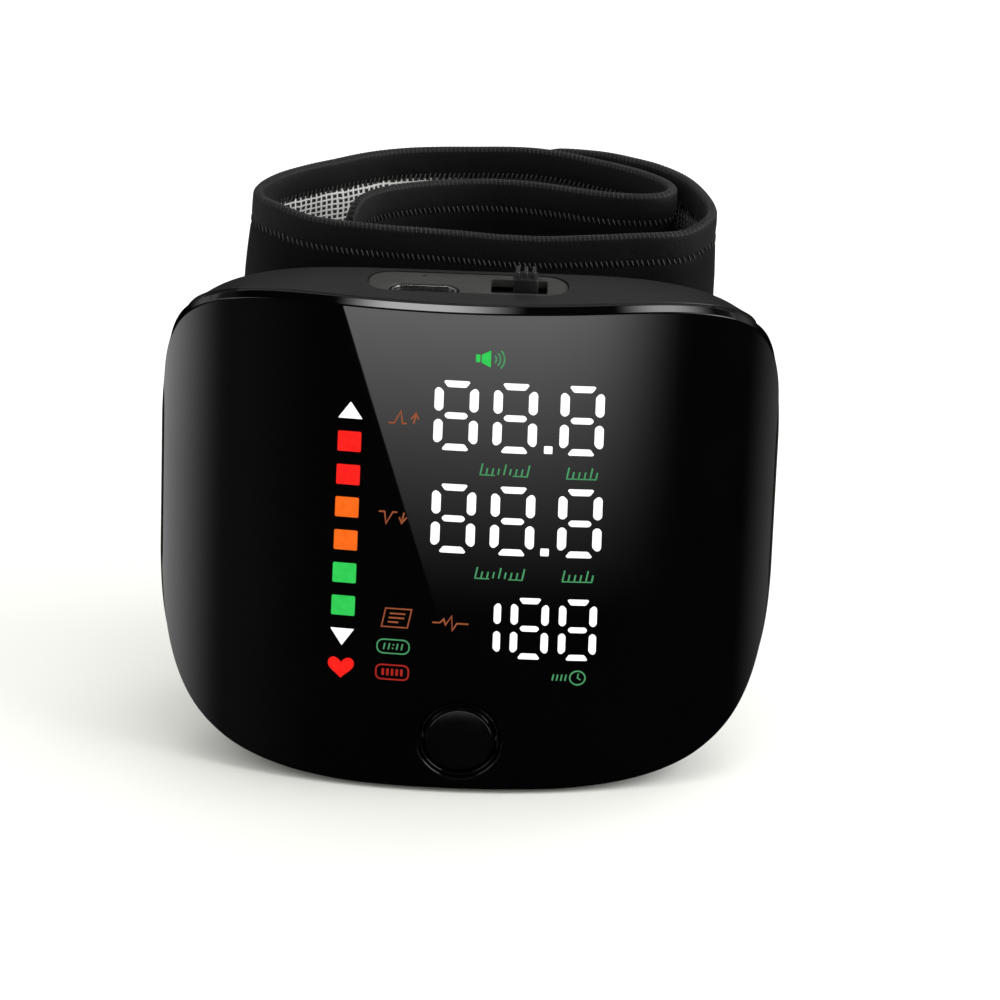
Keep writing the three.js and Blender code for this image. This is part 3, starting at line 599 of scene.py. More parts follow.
SET_BACK = 0.07         # the panel's skin lies this far inside the CAD face, so its inlays stay in the box


def on_face(u, z, n):
    """Point n millimetres behind the panel's skin, at arc length u along it and height z."""
    x = x_of_u(u)
    d, s, c = face(x)
    n += SET_BACK
    return pt(x - n * s, d + n * c, z)


def outline(count, top=SQUARE):
    a = np.arange(7200) * 2 * math.pi / 7200
    c, s = np.cos(a), np.sin(a)
    e = np.where(s >= 0, top, 4.0)
    h = np.where(s >= 0, UP_H, DOWN_H)
    x = np.clip(45 * np.sign(c) * np.abs(c) ** (2 / e), -44.95, 44.95)
    z = np.maximum(FOOT_Z, MID_Z + h * np.sign(s) * np.abs(s) ** (2 / e))
    p = np.stack([x, z], 1)
    seg = np.linalg.norm(np.roll(p, -1, 0) - p, axis=1)
    cum = np.concatenate([[0], np.cumsum(seg)])
    t = np.arange(count) / count * cum[-1]
    q = np.concatenate([p, p[:1]])
    return np.stack([np.interp(t, cum, q[:, 0]), np.interp(t, cum, q[:, 1])], 1)


def inset(p, i):
    return p[0] * (1 - i / 45), 41.6 + (p[1] - 41.6) * (1 - i / 38.4)


def section(p, q, d):
    """Outline point at depth d: behind the panel the corners grow rounder and the deck falls."""
    depth, _, c = face(max(-42.0, min(42.0, p[0])))
    front = depth + 2.3 * c
    w = max(0.0, min(1.0, (d - front) / (DECK_D - front)))
    x, z = lerp(p[0], q[0], w), lerp(p[1], q[1], w)
    return x, z - 0.06 * (DECK_D - front) * w * smooth((z - 58) / 14)


# ---------------------------------------------------------------- front panel
BUTTON_Z, BUTTON_R, RING_R = 11.7, 5.3, 5.85
HOLE_R = RING_R + 0.3
BEVEL_Z, BEVEL_D = 0.6, 1.4
BEVEL_A = math.atan2(BEVEL_D, BEVEL_Z)          # tilt of the bevel's normal away from the face's


def bevel_profile():
    """(inset from the outline, depth, tilt of the normal) round the panel's edge, both corners of the flat bevel eased."""
    def bend(p0, p1, p2, a0, a1, n):
        out = []
        for k in range(n + 1):
            q = k / n
            b, m = ((1 - q) ** 2 * u + 2 * q * (1 - q) * v + q * q * w for u, v, w in zip(p0, p1, p2))
            out.append((b, m, lerp(a0, a1, q)))
        return out
    cb, sb = math.cos(BEVEL_A), math.sin(BEVEL_A)
    e, g = 0.17, 0.09
    return bend((BEVEL_Z + e, 0.0), (BEVEL_Z, 0.0), (BEVEL_Z - e * cb, e * sb), 0.0, BEVEL_A, 5) \
        + bend((g * cb, BEVEL_D - g * sb), (0.0, BEVEL_D), (0.0, BEVEL_D + g), BEVEL_A, math.pi / 2, 3) + [(0.0, 1.88, math.pi / 2)]


def build_panel():
    a0 = math.degrees(math.acos((44.95 / 45) ** (SQUARE / 2)))
    ang = [lerp(a0, 76, i / 38) for i in range(39)]
    outer = [45 * math.cos(math.radians(a)) ** (2 / SQUARE) for a in ang]    # 44.95 down to about 28
    inner = [lerp(outer[-1], 9.0, i / 14) for i in range(1, 15)]
    mid = [9.0 - 1.5 * i for i in range(1, 6)]
    pos = outer + inner + mid                                             # 44.95 ... 1.5
    xs = [-x for x in pos] + [0.0] + pos[::-1]
    col0, col1 = xs.index(-9.0), xs.index(9.0)
    hem = bevel_profile()
    edge_in = hem[0][0]

    low, high = FOOT_Z + edge_in, 80 - edge_in
    rows_z = [low, 4.5] + [4.5 + 1.44 * i for i in range(1, 11)] + [lerp(18.9, high, i / 27) for i in range(1, 28)]
    fr = [(z - low) / (high - low) for z in rows_z]
    row0, row1 = 1, 11
    m, k = len(xs), len(fr)

    def edge(fn, x, up):
        """Outline point (u, z) and inward normal in the unrolled face."""
        h = 0.004
        x0, x1 = max(-44.99, x - h), min(44.99, x + h)
        t = Vector((u_of_x(x1) - u_of_x(x0), fn(x1) - fn(x0))).normalized()
        nrm = Vector((t.y, -t.x)) if up else Vector((-t.y, t.x))
        return Vector((u_of_x(x), fn(x))), nrm

    def bevel_share(at):
        """(width, depth) of the bevel at a rim point, as shares of the ones along the top."""
        q = smooth((abs(x_of_u(at.x)) - 35.5) / 7)
        return lerp(1.0, lerp(0.5, 1.5, smooth((at.y - 62) / 9)), q), lerp(1.0, 0.36, q)

    tops = [edge(top_z, x, True) for x in xs]
    bots = [edge(bottom_z, x, False) for x in xs]

    def side(z, sg):
        return Vector((sg * u_of_x(side_x(z)), z)), Vector((-sg, 0.0))

    rim = {}
    for i in range(m):
        rim[i, k - 1], rim[i, 0] = tops[i], bots[i]
    for i, sg in ((0, -1), (m - 1, 1)):
        for j in range(1, k - 1):
            rim[i, j] = side(lerp(bots[i][0].y, tops[i][0].y, fr[j]), sg)
    grid = {}
    for i in range(m):
        a, b = (r[0] + r[1] * edge_in * bevel_share(r[0])[0] for r in (bots[i], tops[i]))
        for j in range(k):
            r = rim.get((i, j))
            grid[i, j] = r[0] + r[1] * edge_in * bevel_share(r[0])[0] if r else a + (b - a) * fr[j]

    verts, faces, norms = [], [], []

    def add(uv, n, out=None, tilt=0.0):
        """Vertex at unrolled place uv, n behind the skin; its normal leans by tilt from the face's towards the plane direction out."""
        verts.append(on_face(uv[0], uv[1], n))
        _, s, c = face(x_of_u(uv[0]))
        nv = Vector((s, -c, 0)) * math.cos(tilt)
        if out is not None:
            nv += (Vector((c, s, 0)) * out[0] + Vector((0, 0, 1)) * out[1]) * math.sin(tilt)
        norms.append(nv.normalized())
        return len(verts) - 1

    loop = [(i, k - 1) for i in range(m)] + [(m - 1, j) for j in range(k - 2, 0, -1)] \
        + [(i, 0) for i in range(m - 1, -1, -1)] + [(0, j) for j in range(1, k - 1)]
    # ring of cells that morph from the button's hole to the square round it
    square = [(i, row1) for i in range(col0, col1)] + [(col1, j) for j in range(row1, row0, -1)] \
        + [(i, row0) for i in range(col1, col0, -1)] + [(col0, j) for j in range(row0, row1)]

    def sheet(n, hole, flip):
        lean = math.pi if flip else 0.0
        ids = {ij: add(uv, n, (0, 0), lean) for ij, uv in grid.items()
               if not (col0 < ij[0] < col1 and row0 < ij[1] < row1)}
        for i in range(m - 1):
            for j in range(k - 1):
                if col0 <= i < col1 and row0 <= j < row1:
                    continue
                f = (ids[i, j], ids[i + 1, j], ids[i + 1, j + 1], ids[i, j + 1])
                faces.append(f[::-1] if flip else f)
        rings = [[ids[ij] for ij in square]]
        for step in range(1, 7):
            t = step / 6
            t = 1 - (1 - t) ** 1.35
            ring = []
            for ij in square:
                p = grid[ij]
                v = Vector((p.x, p.y - BUTTON_Z))
                c = v.normalized() * hole
                w = v.lerp(c, t)
                ring.append(add((w.x, w.y + BUTTON_Z), n, (0, 0), lean))
            rings.append(ring)
        for a, b in zip(rings, rings[1:]):
            for i in range(len(a)):
                f = (a[i], a[(i + 1) % len(a)], b[(i + 1) % len(a)], b[i])
                faces.append(f if flip else f[::-1])
        return ids, rings[-1]

    front, hole_f = sheet(0.0, HOLE_R + 0.28, False)
    rings = [[front[ij] for ij in loop]]
    for b, n, tilt in hem[1:]:
        ring = []
        for ij in loop:
            at, nrm = rim[ij]
            kb, kd = bevel_share(at)
            lean = math.atan2(BEVEL_D * kd, BEVEL_Z * kb)
            if tilt <= BEVEL_A:
                lean *= tilt / BEVEL_A
            else:
                lean = lerp(lean, math.pi / 2, (tilt - BEVEL_A) / (math.pi / 2 - BEVEL_A))
            ring.append(add(at + nrm * b * kb, n if n > 1.8 else n * kd, -nrm, lean))
        rings.append(ring)
    back, hole_b = sheet(1.93, HOLE_R, True)
    rings.append([back[ij] for ij in loop])
    for a, b in zip(rings, rings[1:]):
        n = len(a)
        faces.extend((a[i], a[(i + 1) % n], b[(i + 1) % n], b[i]) for i in range(n))
    walls = [hole_f]
    for r, n, tilt in ((HOLE_R + 0.12, 0.05, 0.7), (HOLE_R + 0.03, 0.15, 1.25), (HOLE_R, 0.32, math.pi / 2), (HOLE_R, 1.9, math.pi / 2)):
        walls.append([])
        for ij in square:
            v = Vector((grid[ij].x, grid[ij].y - BUTTON_Z)).normalized()
            walls[-1].append(add((v.x * r, v.y * r + BUTTON_Z), n, -v, tilt))
    walls.append(hole_b)
    for a, b in zip(walls, walls[1:]):
        n = len(a)
        faces.extend((a[i], a[(i + 1) % n], b[(i + 1) % n], b[i]) for i in range(n))
    ob = make("panel_skin", verts, faces, M["gloss_black"], sharp=None)
    ob.data.normals_split_custom_set_from_vertices([tuple(v) for v in norms])
    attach(ob, "casing")
    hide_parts("front_panel")
    return ob


build_panel()

# --------------------------------------------------------- housing, rear cover
OUT = outline(360)
OUT_REAR = outline(360, SQUARE_REAR)


def tube(loops):
    """Closed ring solid through loops of equal length, the last joined to the first."""
    n = len(loops[0])
    verts = [v for l in loops for v in l]
    faces = []
    for a in range(len(loops)):
        b = (a + 1) % len(loops)
        faces += [(a * n + i, a * n + (i + 1) % n, b * n + (i + 1) % n, b * n + i) for i in range(n)]
    return verts, faces


def build_housing():
    loops = []
    # outer skin from the panel's back to the rear seam, its two edges eased
    for t, e in [(0.0, 0.32), (0.004, 0.12), (0.016, 0.0)] + [(0.016 + 0.968 * i / 16, 0.0) for i in range(1, 17)] + [(0.993, 0.1), (1.0, 0.32)]:
        l = []
        for p, q in zip(OUT, OUT_REAR):
            a = min(face(max(-44.9, min(44.9, p[0])), 2.3)[0], DECK_D - 0.4)
            d = lerp(a, DECK_D, t)
            x, z = inset(section(p, q, d), e)
            l.append(pt(x, d, z))
        loops.append(l)
    for d in (DECK_D, 9.0, None):
        l = []
        for p, q in zip(OUT, OUT_REAR):
            a = min(face(max(-42.9, min(42.9, inset(p, 2.0)[0])), 2.3)[0], DECK_D - 0.4)
            dd = a if d is None else max(a, d)
            x, z = inset(section(p, q, dd), 2.0)
            l.append(pt(x, dd, z))
        loops.append(l)
    v, f = tube(loops)
    ob = make("case_shell", v, f, M["satin_grey"], sharp=None, weld=2e-6)
    tools = [make("pocket", *prism(rounded_rect(-0.93, 11.2, 28.9, 8.6, 3.7, 12), [], 74, 90, standing), M["satin_grey"], sharp=None)]
    for x in (-23, -20.4, -17.8, -15.2):
        tools.append(make("slot", *prism(rounded_rect(x, 12, 1.1, 4.6, 0.54, 6), [], 1, 8, standing), M["satin_grey"], sharp=None))
    cut(ob, tools)
    ob.data.shade_smooth()
    ob.data.set_sharp_from_angle(angle=math.radians(30))
    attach(ob, "casing")
    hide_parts("main_housing")
    return ob


build_housing()


def build_rear():
    def rim(d, i):
        l = []
        for p, q in zip(OUT, OUT_REAR):
            x, z = inset(section(p, q, DECK_D), i)
            l.append(pt(x, d, z))
        return l

    prof = curve_through([(COVER_D + 0.25, 0.3), (18.6, 0.9), (20.4, 2.5), (21.5, 4.4), (21.92, 6.0)], 20)
    loops = [rim(COVER_D, 0.55), rim(COVER_D + 0.08, 0.38)] + [rim(d, i) for d, i in prof] + [rim(BACK_D, 7.0)]
    n = len(OUT)
    back = [rim(BACK_D, i) for i in (14.0, 24.0, 33.0)]
    inner = [rim(20.2, 33.0), rim(20.2, 5.0), rim(COVER_D, 2.6)]
    v, f = tube(loops + back + inner)
    base = (len(loops) + 2) * n
    f.append(tuple(base + i for i in range(n)))
    base = (len(loops) + 3) * n
    f.append(tuple(base + i for i in range(n))[::-1])
    # the two centre caps close the tray, so the ring between them goes
    ring = set(range((len(loops) + 2) * n, (len(loops) + 4) * n))
    f = [q for q in f if not (len(q) == 4 and set(q) <= ring)]
    ob = make("rear_shell", v, f, M["satin_grey"], sharp=34)
    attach(ob, "casing")
    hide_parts("rear_cover")


build_rear()

plate = make("cuff_plate", *prism(rounded_rect(0, 41.5, 66.4, 65.0, 4, 10), [], 22.3, 23.8, facing, bevel=0.35, both=True), M["black_plastic"])
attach(plate, "casing")
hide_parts("cuff_mount_plate")

# -------------------------------------------------- inlay, port, slide switch
USB_X, USB_D, USB_W, USB_H = -7.2, 9.05, 9.4, 3.6
INLAY_TOP = 79.15
KNOB_X, KNOB_D = 7.3, 11.4
usb_hole = rounded_rect(USB_X, USB_D, USB_W + 0.7, USB_H + 0.7, 2.1, 8)
slot_hole = rounded_rect(6.4, KNOB_D, 8.0, 5.0, 0.35, 4)
inlay = make("port_plate", *prism(rounded_rect(-0.93, 11.2, 28.74, 8.44, 3.62, 12), [usb_hole, slot_hole], INLAY_TOP - 1.2, INLAY_TOP, standing, bevel=0.16), M["inlay_grey"])
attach(inlay, "casing")
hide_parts("port_inlay")

usb_top = INLAY_TOP - 0.05
shell = make("usb_sleeve", *prism(rounded_rect(USB_X, USB_D, USB_W, USB_H, 1.75, 8), [rounded_rect(USB_X, USB_D, USB_W - 0.72, USB_H - 0.72, 1.4, 8)],
                                  usb_top - 7.2, usb_top, standing, bevel=0.12), M["steel"])
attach(shell, "casing")
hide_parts("usb_shell")
# a near-black floor down in the port: painted shade
floor_v, floor_f = prism(rounded_rect(USB_X, USB_D, USB_W - 0.74, USB_H - 0.74, 1.38, 8), [], usb_top - 7.1, usb_top - 6.6, standing)
port_floor = make("usb_floor", floor_v, floor_f, M["shadow"])
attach(port_floor, "casing")
tongue = make("usb_blade", *rounded_box(USB_X - 3.3, USB_X + 3.3, USB_D - 0.35, USB_D + 0.35, usb_top - 6.3, usb_top - 0.9, 0.12), M["black_plastic"])
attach(tongue, "casing")
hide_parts("usb_tongue")
pads = []
for row in (-0.36, 0.36):
    for i in range(12):
        x = USB_X - 2.75 + 0.5 * i
        pads.append(rounded_box(x - 0.13, x + 0.13, USB_D + row - 0.02, USB_D + row + 0.02, usb_top - 4.6, usb_top - 1.3, 0.008, 1))
contacts = make("usb_contacts", *join_data(pads), M["brass"])
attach(contacts, "casing")

knob_parts = [rounded_box(KNOB_X - 0.9, KNOB_X + 0.9, KNOB_D - 0.8, KNOB_D + 0.8, 75.2, 79.0, 0.15),
              rounded_box(KNOB_X - 1.8, KNOB_X + 1.8, KNOB_D - 1.7, KNOB_D + 1.7, 77.7, 80.9, 0.28)]
for o in (-1.17, 0.0, 1.17):
    knob_parts.append(rounded_box(KNOB_X + o - 0.31, KNOB_X + o + 0.31, KNOB_D - 1.3, KNOB_D + 1.3, 80.5, 81.9, 0.22, 4))
knob = make("switch_slider", *join_data(knob_parts[:2]), M["black_plastic"])
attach(knob, "switch_knob")
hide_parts("switch_knob")
# the ribs get a lighter grey than the slider below them: painted light on the knob's lit top
ribs = make("switch_ribs", *join_data(knob_parts[2:]), M["knob_ribs_lit_grey"])
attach(ribs, "switch_knob")

# small printed guides beside the port and the switch: a charge bolt and two dots
mark_top = INLAY_TOP + 0.012
marks = [prism([(USB_X - 0.15, 14.62), (USB_X + 0.35, 14.62), (USB_X + 0.08, 14.28), (USB_X + 0.5, 14.28), (USB_X - 0.3, 13.72), (USB_X - 0.02, 14.1), (USB_X - 0.45, 14.1)],
               [], INLAY_TOP - 0.05, mark_top, standing)]
for x, w in ((3.3, 0.28), (9.5, 0.5)):
    marks.append(prism(rounded_rect(x, 14.3, w, w, w / 2 - 0.01, 6), [], INLAY_TOP - 0.05, mark_top, standing))
marks = make("deck_marks", *join_data(marks), M["deck_mark"])
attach(marks, "casing")

# -------------------------------------------------------------- start button


def about_button(u, v, h):
    return pt(u, h, v + BUTTON_Z)


ring_prof = curve_through([(5.55, 0.95), (5.55, 0.62), (5.6, 0.43), (5.69, 0.36), (5.78, 0.37), (5.85, 0.48)], 18)
ring = make("button_bezel", *lathe([(5.55, 1.9)] + ring_prof + [(5.85, 1.9), (5.55, 1.9)], about_button, 128), M["gloss_black"], sharp=60)
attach(ring, "casing")
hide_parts("button_ring")
edge_prof = [(5.3 - 0.8 + 0.8 * math.sin(a), 1.32 - 0.8 * math.cos(a)) for a in (math.radians(6 * i) for i in range(16))]
dome = [(0.0, 0.43), (0.9, 0.432), (1.8, 0.44), (2.7, 0.455), (3.5, 0.478), (4.1, 0.5)]
button = make("button_cap", *lathe(dome + edge_prof + [(5.3, 4.2), (6.0, 4.2), (6.0, 5.0), (1.6, 5.0), (1.6, 5.3), (0.0, 5.3)], about_button, 128), M["button_gloss"], sharp=50)
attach(button, "start_button")
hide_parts("start_button")

# ------------------------------------------------------------ display inlays
INLAY_OUT, INLAY_IN = -0.05, 0.12


def seen(x, z):
    """Place of a display mark on the curved panel: its nominal place plus a small shift, fitted by least squares to how the marks line up in the reference view."""
    k = (z - 45) / 20
    x1 = x + 0.155 - 0.0146 * x + 0.07 * k - 0.0105 * x * k
    return u_of_x(x1), z - 0.033 - 0.0198 * x - 0.00141 * x * x - 0.22 * k + 0.0008 * x * k


def lamp(name, shapes, mat):
    """Thin lit inlays in the panel; shapes is [(outer, holes)] in x, z."""
    parts = []
    for outer, holes in shapes:
        parts.append(prism([seen(x, z) for x, z in outer], [[seen(x, z) for x, z in h] for h in holes], INLAY_IN, INLAY_OUT, on_face))
    ob = make(name, *join_data(parts), M[mat], sharp=30)
    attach(ob, "casing")
    return ob


def moved(pts, x, z, kx=1.0, kz=1.0):
    return [(x + kx * a, z + kz * b) for a, b in pts]


SEG_A = [(-1.72, 0.52), (1.72, 0.52), (1.93, 0.3), (1.36, -0.52), (-1.36, -0.52), (-1.93, 0.3)]
SEG_G = [(-1.78, 0.0), (-1.36, 0.5), (1.36, 0.5), (1.78, 0.0), (1.36, -0.5), (-1.36, -0.5)]
SEG_F = [(-0.66, 1.42), (-0.34, 1.84), (0.1, 1.84), (0.66, 1.3), (0.66, -1.42), (0.2, -1.82), (-0.22, -1.82), (-0.66, -1.4)]


def digit(x, z, hw, hh, kx, kz, on="abcdefg"):
    out = []
    flip = [(a, -b) for a, b in SEG_A]
    seg = {
        "a": moved(SEG_A, x, z + hh, kx, kz), "d": moved(flip, x, z - hh, kx, kz), "g": moved(SEG_G, x, z, kx, kz),
        "f": moved(SEG_F, x - hw, z + hh / 2, kx, kz), "b": moved([(-a, b) for a, b in SEG_F], x + hw, z + hh / 2, kx, kz),
        "e": moved([(a, -b) for a, b in SEG_F], x - hw, z - hh / 2, kx, kz), "c": moved([(-a, -b) for a, b in SEG_F], x + hw, z - hh / 2, kx, kz),
    }
    for k in on:
        out.append((round_poly(seg[k], 0.28 * kx, 3), []))
    return out


digits = []
for z, xs in ((63.75, (-2.25, 6.43, 16.25)), (47.4, (-2.1, 6.57, 16.45))):
    for x in xs:
        digits += digit(x, z, 2.58, 4.98, 1.0, 1.0)
    digits.append((round_poly(rounded_rect(11.42, z - 4.75, 1.24, 1.2, 0.12, 2), 0.1, 1), []))
digits += digit(2.61, 30.2, 2.25, 4.5, 0.8, 0.9, "bc")
for x in (9.6, 16.65):
    digits += digit(x, 30.2, 2.25, 4.5, 0.82, 0.9)
lamp("digits", digits, "lit_white")

BAR_X = -17.75
arrows = [(round_poly([(BAR_X - 1.8, 62.25), (BAR_X + 1.8, 62.25), (BAR_X, 64.9)], 0.16, 3), []),
          (round_poly([(BAR_X - 1.75, 28.45), (BAR_X + 1.75, 28.45), (BAR_X, 25.7)], 0.16, 3), [])]
lamp("arrows", arrows, "lit_white")
for name, mat, zs in (("bars_red", "lit_red", (58.6, 53.3)), ("bars_orange", "lit_orange", (48.1, 42.8)), ("bars_green", "lit_green", (37.5, 32.2))):
    lamp(name, [(rounded_rect(BAR_X, z, 3.45, 3.2, 0.22, 3), []) for z in zs], mat)
heart = []
for i in range(48):
    t = 2 * math.pi * i / 48
    heart.append((BAR_X + 0.12 * 16 * math.copysign(abs(math.sin(t)) ** 2.3, math.sin(t)), 22.3 + 0.117 * (13 * math.cos(t) - 5 * math.cos(2 * t) - 2 * math.cos(3 * t) - math.cos(4 * t))))
lamp("heart", [(heart, [])], "lit_red")


def arc_line(cx, cz, r, a0, a1, n=9):
    return [(cx + r * math.cos(math.radians(lerp(a0, a1, i / (n - 1)))), cz + r * math.sin(math.radians(lerp(a0, a1, i / (n - 1))))) for i in range(n)]


# speaker: a driver block, a horn and sound arcs
speaker = [(round_poly([(0.35, 72.35), (1.0, 72.35), (1.0, 73.55), (0.35, 73.55)], 0.15), []),
           (round_poly([(1.2, 72.3), (2.55, 71.6), (2.55, 74.25), (1.2, 73.55)], 0.12), [])]
lamp("speaker_mark", speaker, "lit_green")
waves = [stroke(arc_line(2.5, 72.92, r, -42, 42), 0.24) for r in (0.85, 1.45, 2.05)]
lamp("speaker_waves", waves, "dim_green")


def slanted(pts, x, z, k=1.0):
    """Pictogram points with the display's slight slant."""
    return [(x + k * (a + 0.18 * b), z + k * b) for a, b in pts]


def line(pts, x, z, w=0.24, k=1.0, closed=False):
    return stroke(slanted(pts, x, z, k), w, closed)


# amber legends: rising wave, falling wave, pulse trace
amber = [
    line([(-2.2, -0.95), (-1.35, -0.95), (-0.75, 0.95), (-0.15, -0.95), (0.5, -0.95)], -9.75, 63.0),
    line([(0.95, -0.2), (1.5, 0.75), (2.05, -0.2)], -9.75, 63.0),
    line([(1.5, 0.5), (1.5, -0.95)], -9.75, 63.0),
    line([(-2.2, 0.95), (-1.35, 0.95), (-0.75, -0.95), (-0.15, 0.95), (0.5, 0.95)], -11.0, 46.9),
    line([(0.95, 0.2), (1.5, -0.75), (2.05, 0.2)], -11.0, 46.9),
    line([(1.5, -0.5), (1.5, 0.95)], -11.0, 46.9),
    line([(-2.6, 0.0), (-1.5, 0.0), (-1.05, 0.6), (-0.6, -0.3), (0.0, 1.15), (0.55, -1.15), (1.0, 0.0), (2.7, 0.0)], -2.0, 30.5),
    # memory box with three stored lines
    line([(-1.9, -1.5), (1.9, -1.5), (1.9, 1.5), (-1.9, 1.5)], -9.85, 30.8, 0.2, 1.0, True),
    line([(-1.15, 0.7), (1.15, 0.7)], -9.85, 30.8),
    line([(-1.15, 0.0), (1.15, 0.0)], -9.85, 30.8),
    line([(-1.15, -0.7), (0.4, -0.7)], -9.85, 30.8),
]
lamp("legend_amber", amber, "lit_amber")

# green legends: a pill with a clock colon, column scales under the readings, a minute dial
green = [stroke(rounded_rect(-10.2, 26.1, 4.7, 2.25, 0.95, 5), 0.2, True)]
for x in (-11.5, -10.8, -9.6, -8.9):
    green.append(line([(0, -0.5), (0, 0.5)], x, 26.1, 0.22))
for dz in (-0.28, 0.28):
    green.append((rounded_rect(-10.2 + 0.18 * dz, 26.1 + dz, 0.24, 0.24, 0.1, 3), []))
for x, z, n, step in ((5.2, 55.6, 9, 0.86), (16.6, 55.5, 6, 0.86), (5.0, 39.0, 9, 0.86), (16.5, 39.0, 6, 0.86)):
    for i in range(n):
        tall = 1.05 if i % 4 == 0 else 0.62
        green.append(line([(0, -0.85), (0, -0.85 + 1.6 * tall)], x + (i - (n - 1) / 2) * step, z, 0.24))
    green.append(line([(-(n - 1) / 2 * step - 0.1, -0.98), ((n - 1) / 2 * step + 0.1, -0.98)], x, z, 0.18))
green.append(stroke(arc_line(16.9, 22.4, 1.12, 0, 345, 24), 0.22, True))
green.append(line([(0.0, 0.72), (0.0, 0.0), (0.52, -0.3)], 16.9, 22.4, 0.2))
green += [line([(0, -0.5), (0, 0.5)], 13.3 + 0.62 * i, 22.4, 0.22) for i in range(4)]
lamp("legend_green", green, "dim_green")

# red battery: rounded case and five cells
cells = [stroke(rounded_rect(-10.2, 21.9, 4.75, 2.35, 0.8, 5), 0.22, True)]
for i in range(5):
    cells.append((rounded_rect(-11.56 + 0.68 * i, 21.9, 0.36, 1.1, 0.1, 2), []))
lamp("battery_mark", cells, "dim_red")

# ------------------------------------------------------------------ the cuff
STRIP = [
    (5.4, 57.3), (11.4, 57), (16.5, 56.2), (21.5, 54.4), (26.3, 51.2), (30.2, 46.1), (32.6, 39.8), (33.5, 34.7),
    (33, 31.6), (30.7, 28.8), (27.2, 26.9), (21.3, 25.7), (14, 25.3), (6, 25.2), (-2, 25.2), (-8, 25.3),
    (-15, 25.8), (-20.6, 26.8), (-25, 28.5), (-28.6, 30.8), (-31, 33.2), (-31.8, 35.6), (-31.2, 38.4),
    (-29.2, 41.8), (-25.6, 45.5), (-21.4, 48.9), (-17.6, 51.5), (-13.4, 53.6), (-8, 55), (-2.4, 55.7),
    (2.4, 55.7), (6.4, 55.2), (11.5, 54.1), (16.5, 52.7), (21.2, 50.6), (25.3, 47.7), (27.9, 44.7), (28.5, 42.2),
    (27.4, 40.3), (25, 39.4), (21, 39.2), (16.2, 40.1), (11.4, 41.5), (6.6, 42.5), (1.7, 42.9), (-3.2, 42.4),
    (-8, 41.1), (-12, 39.4), (-15.3, 37.1), (-17.6, 33.8), (-19.2, 29.8),
]
CUFF_TOP, CUFF_LOW, HEM = 83.0, 3.2, 4.4
CUFF_MID = (CUFF_TOP + CUFF_LOW) / 2


def centre_line():
    """Dense centripetal Catmull-Rom through the strip's points: (arc length, x, depth)."""
    p = [np.array(q, float) for q in STRIP]
    n = len(p)
    out = []
    for i in range(n - 1):
        p0 = p[i - 1] if i else 2 * p[0] - p[1]
        p1, p2 = p[i], p[i + 1]
        p3 = p[i + 2] if i + 2 < n else 2 * p[-1] - p[-2]
        d0, d1, d2 = (max(1e-4, float(np.sum((b - a) ** 2)) ** 0.25) for a, b in ((p0, p1), (p1, p2), (p2, p3)))
        t1 = ((p1 - p0) / d0 - (p2 - p0) / (d0 + d1) + (p2 - p1) / d1) * d1
        t2 = ((p2 - p1) / d1 - (p3 - p1) / (d1 + d2) + (p3 - p2) / d2) * d1
        for k in range(60 + (i == n - 2)):
            t = k / 60
            out.append(p1 + t1 * t + (-3 * p1 + 3 * p2 - 2 * t1 - t2) * t * t + (2 * p1 - 2 * p2 + t1 + t2) * t ** 3)
    q = np.array(out)
    s = np.concatenate([[0], np.cumsum(np.linalg.norm(np.diff(q, axis=0), axis=1))])
    return s, q[:, 0], q[:, 1]


LINE_S, LINE_X, LINE_Y = centre_line()
STRIP_L = float(LINE_S[-1])


def strip_at(s):
    """Centre (x, depth) and outward normal of the strip at length s."""
    h = 0.35
    a, b = max(0.0, s - h), min(STRIP_L, s + h)
    x, y = np.interp(s, LINE_S, LINE_X), np.interp(s, LINE_S, LINE_Y)
    t = Vector((np.interp(b, LINE_S, LINE_X) - np.interp(a, LINE_S, LINE_X), np.interp(b, LINE_S, LINE_Y) - np.interp(a, LINE_S, LINE_Y))).normalized()
    return x, y, Vector((-t.y, t.x))


def wob(a, b, c=0.0):
    return noise.noise(Vector((a, b, c)))


def end_round(s, r=1.3):
    """Share of the full thickness near the strip's two ends."""
    e = min(s, STRIP_L - s)
    return 1.0 if e >= r else math.sqrt(max(0.0, 1 - ((r - e) / r) ** 2))


def corner(s):
    """How far the rim drops near the free ends, where the corners are rounded."""
    e, r = (s, 7.0) if s < STRIP_L / 2 else (STRIP_L - s, 6.0)
    slack = 0.3 * (1 - smooth(s / 16))
    return slack + (0.0 if e >= r else r - math.sqrt(max(0.0, r * r - (r - e) ** 2)))


def rim_wave(s, z, x, d):
    """Uneven height of the soft rims; the front wall's upper rim hangs a little, most in the middle."""
    hang = (0.8 + 0.9 * math.exp(-((x - 7) / 12) ** 2)) * smooth((31.5 - d) / 4)
    rise = 0.5 * math.exp(-((x - 9) / 7) ** 2) * smooth((d - 48) / 3) * smooth((s - 90) / 20)
    up = smooth((z - 62) / 20) * (0.12 * wob(s / 17, 3.1) + 0.04 * wob(s / 5, 8.7) - hang + rise)
    down = smooth((23 - z) / 20) * (0.14 * wob(s / 15, 5.3) + 0.08 * abs(wob(s / 6, 1.2)))
    return up + max(0.0, down)


def push(s, x, z):
    """The bends stand out a little, the left one more below the rim."""
    left = (0.55 + 1.05 * smooth((CUFF_TOP - z) / 15)) * smooth((-20 - x) / 10)
    right = 0.75 * smooth((x - 22) / 9) * smooth((66 - s) / 10)
    return left + right


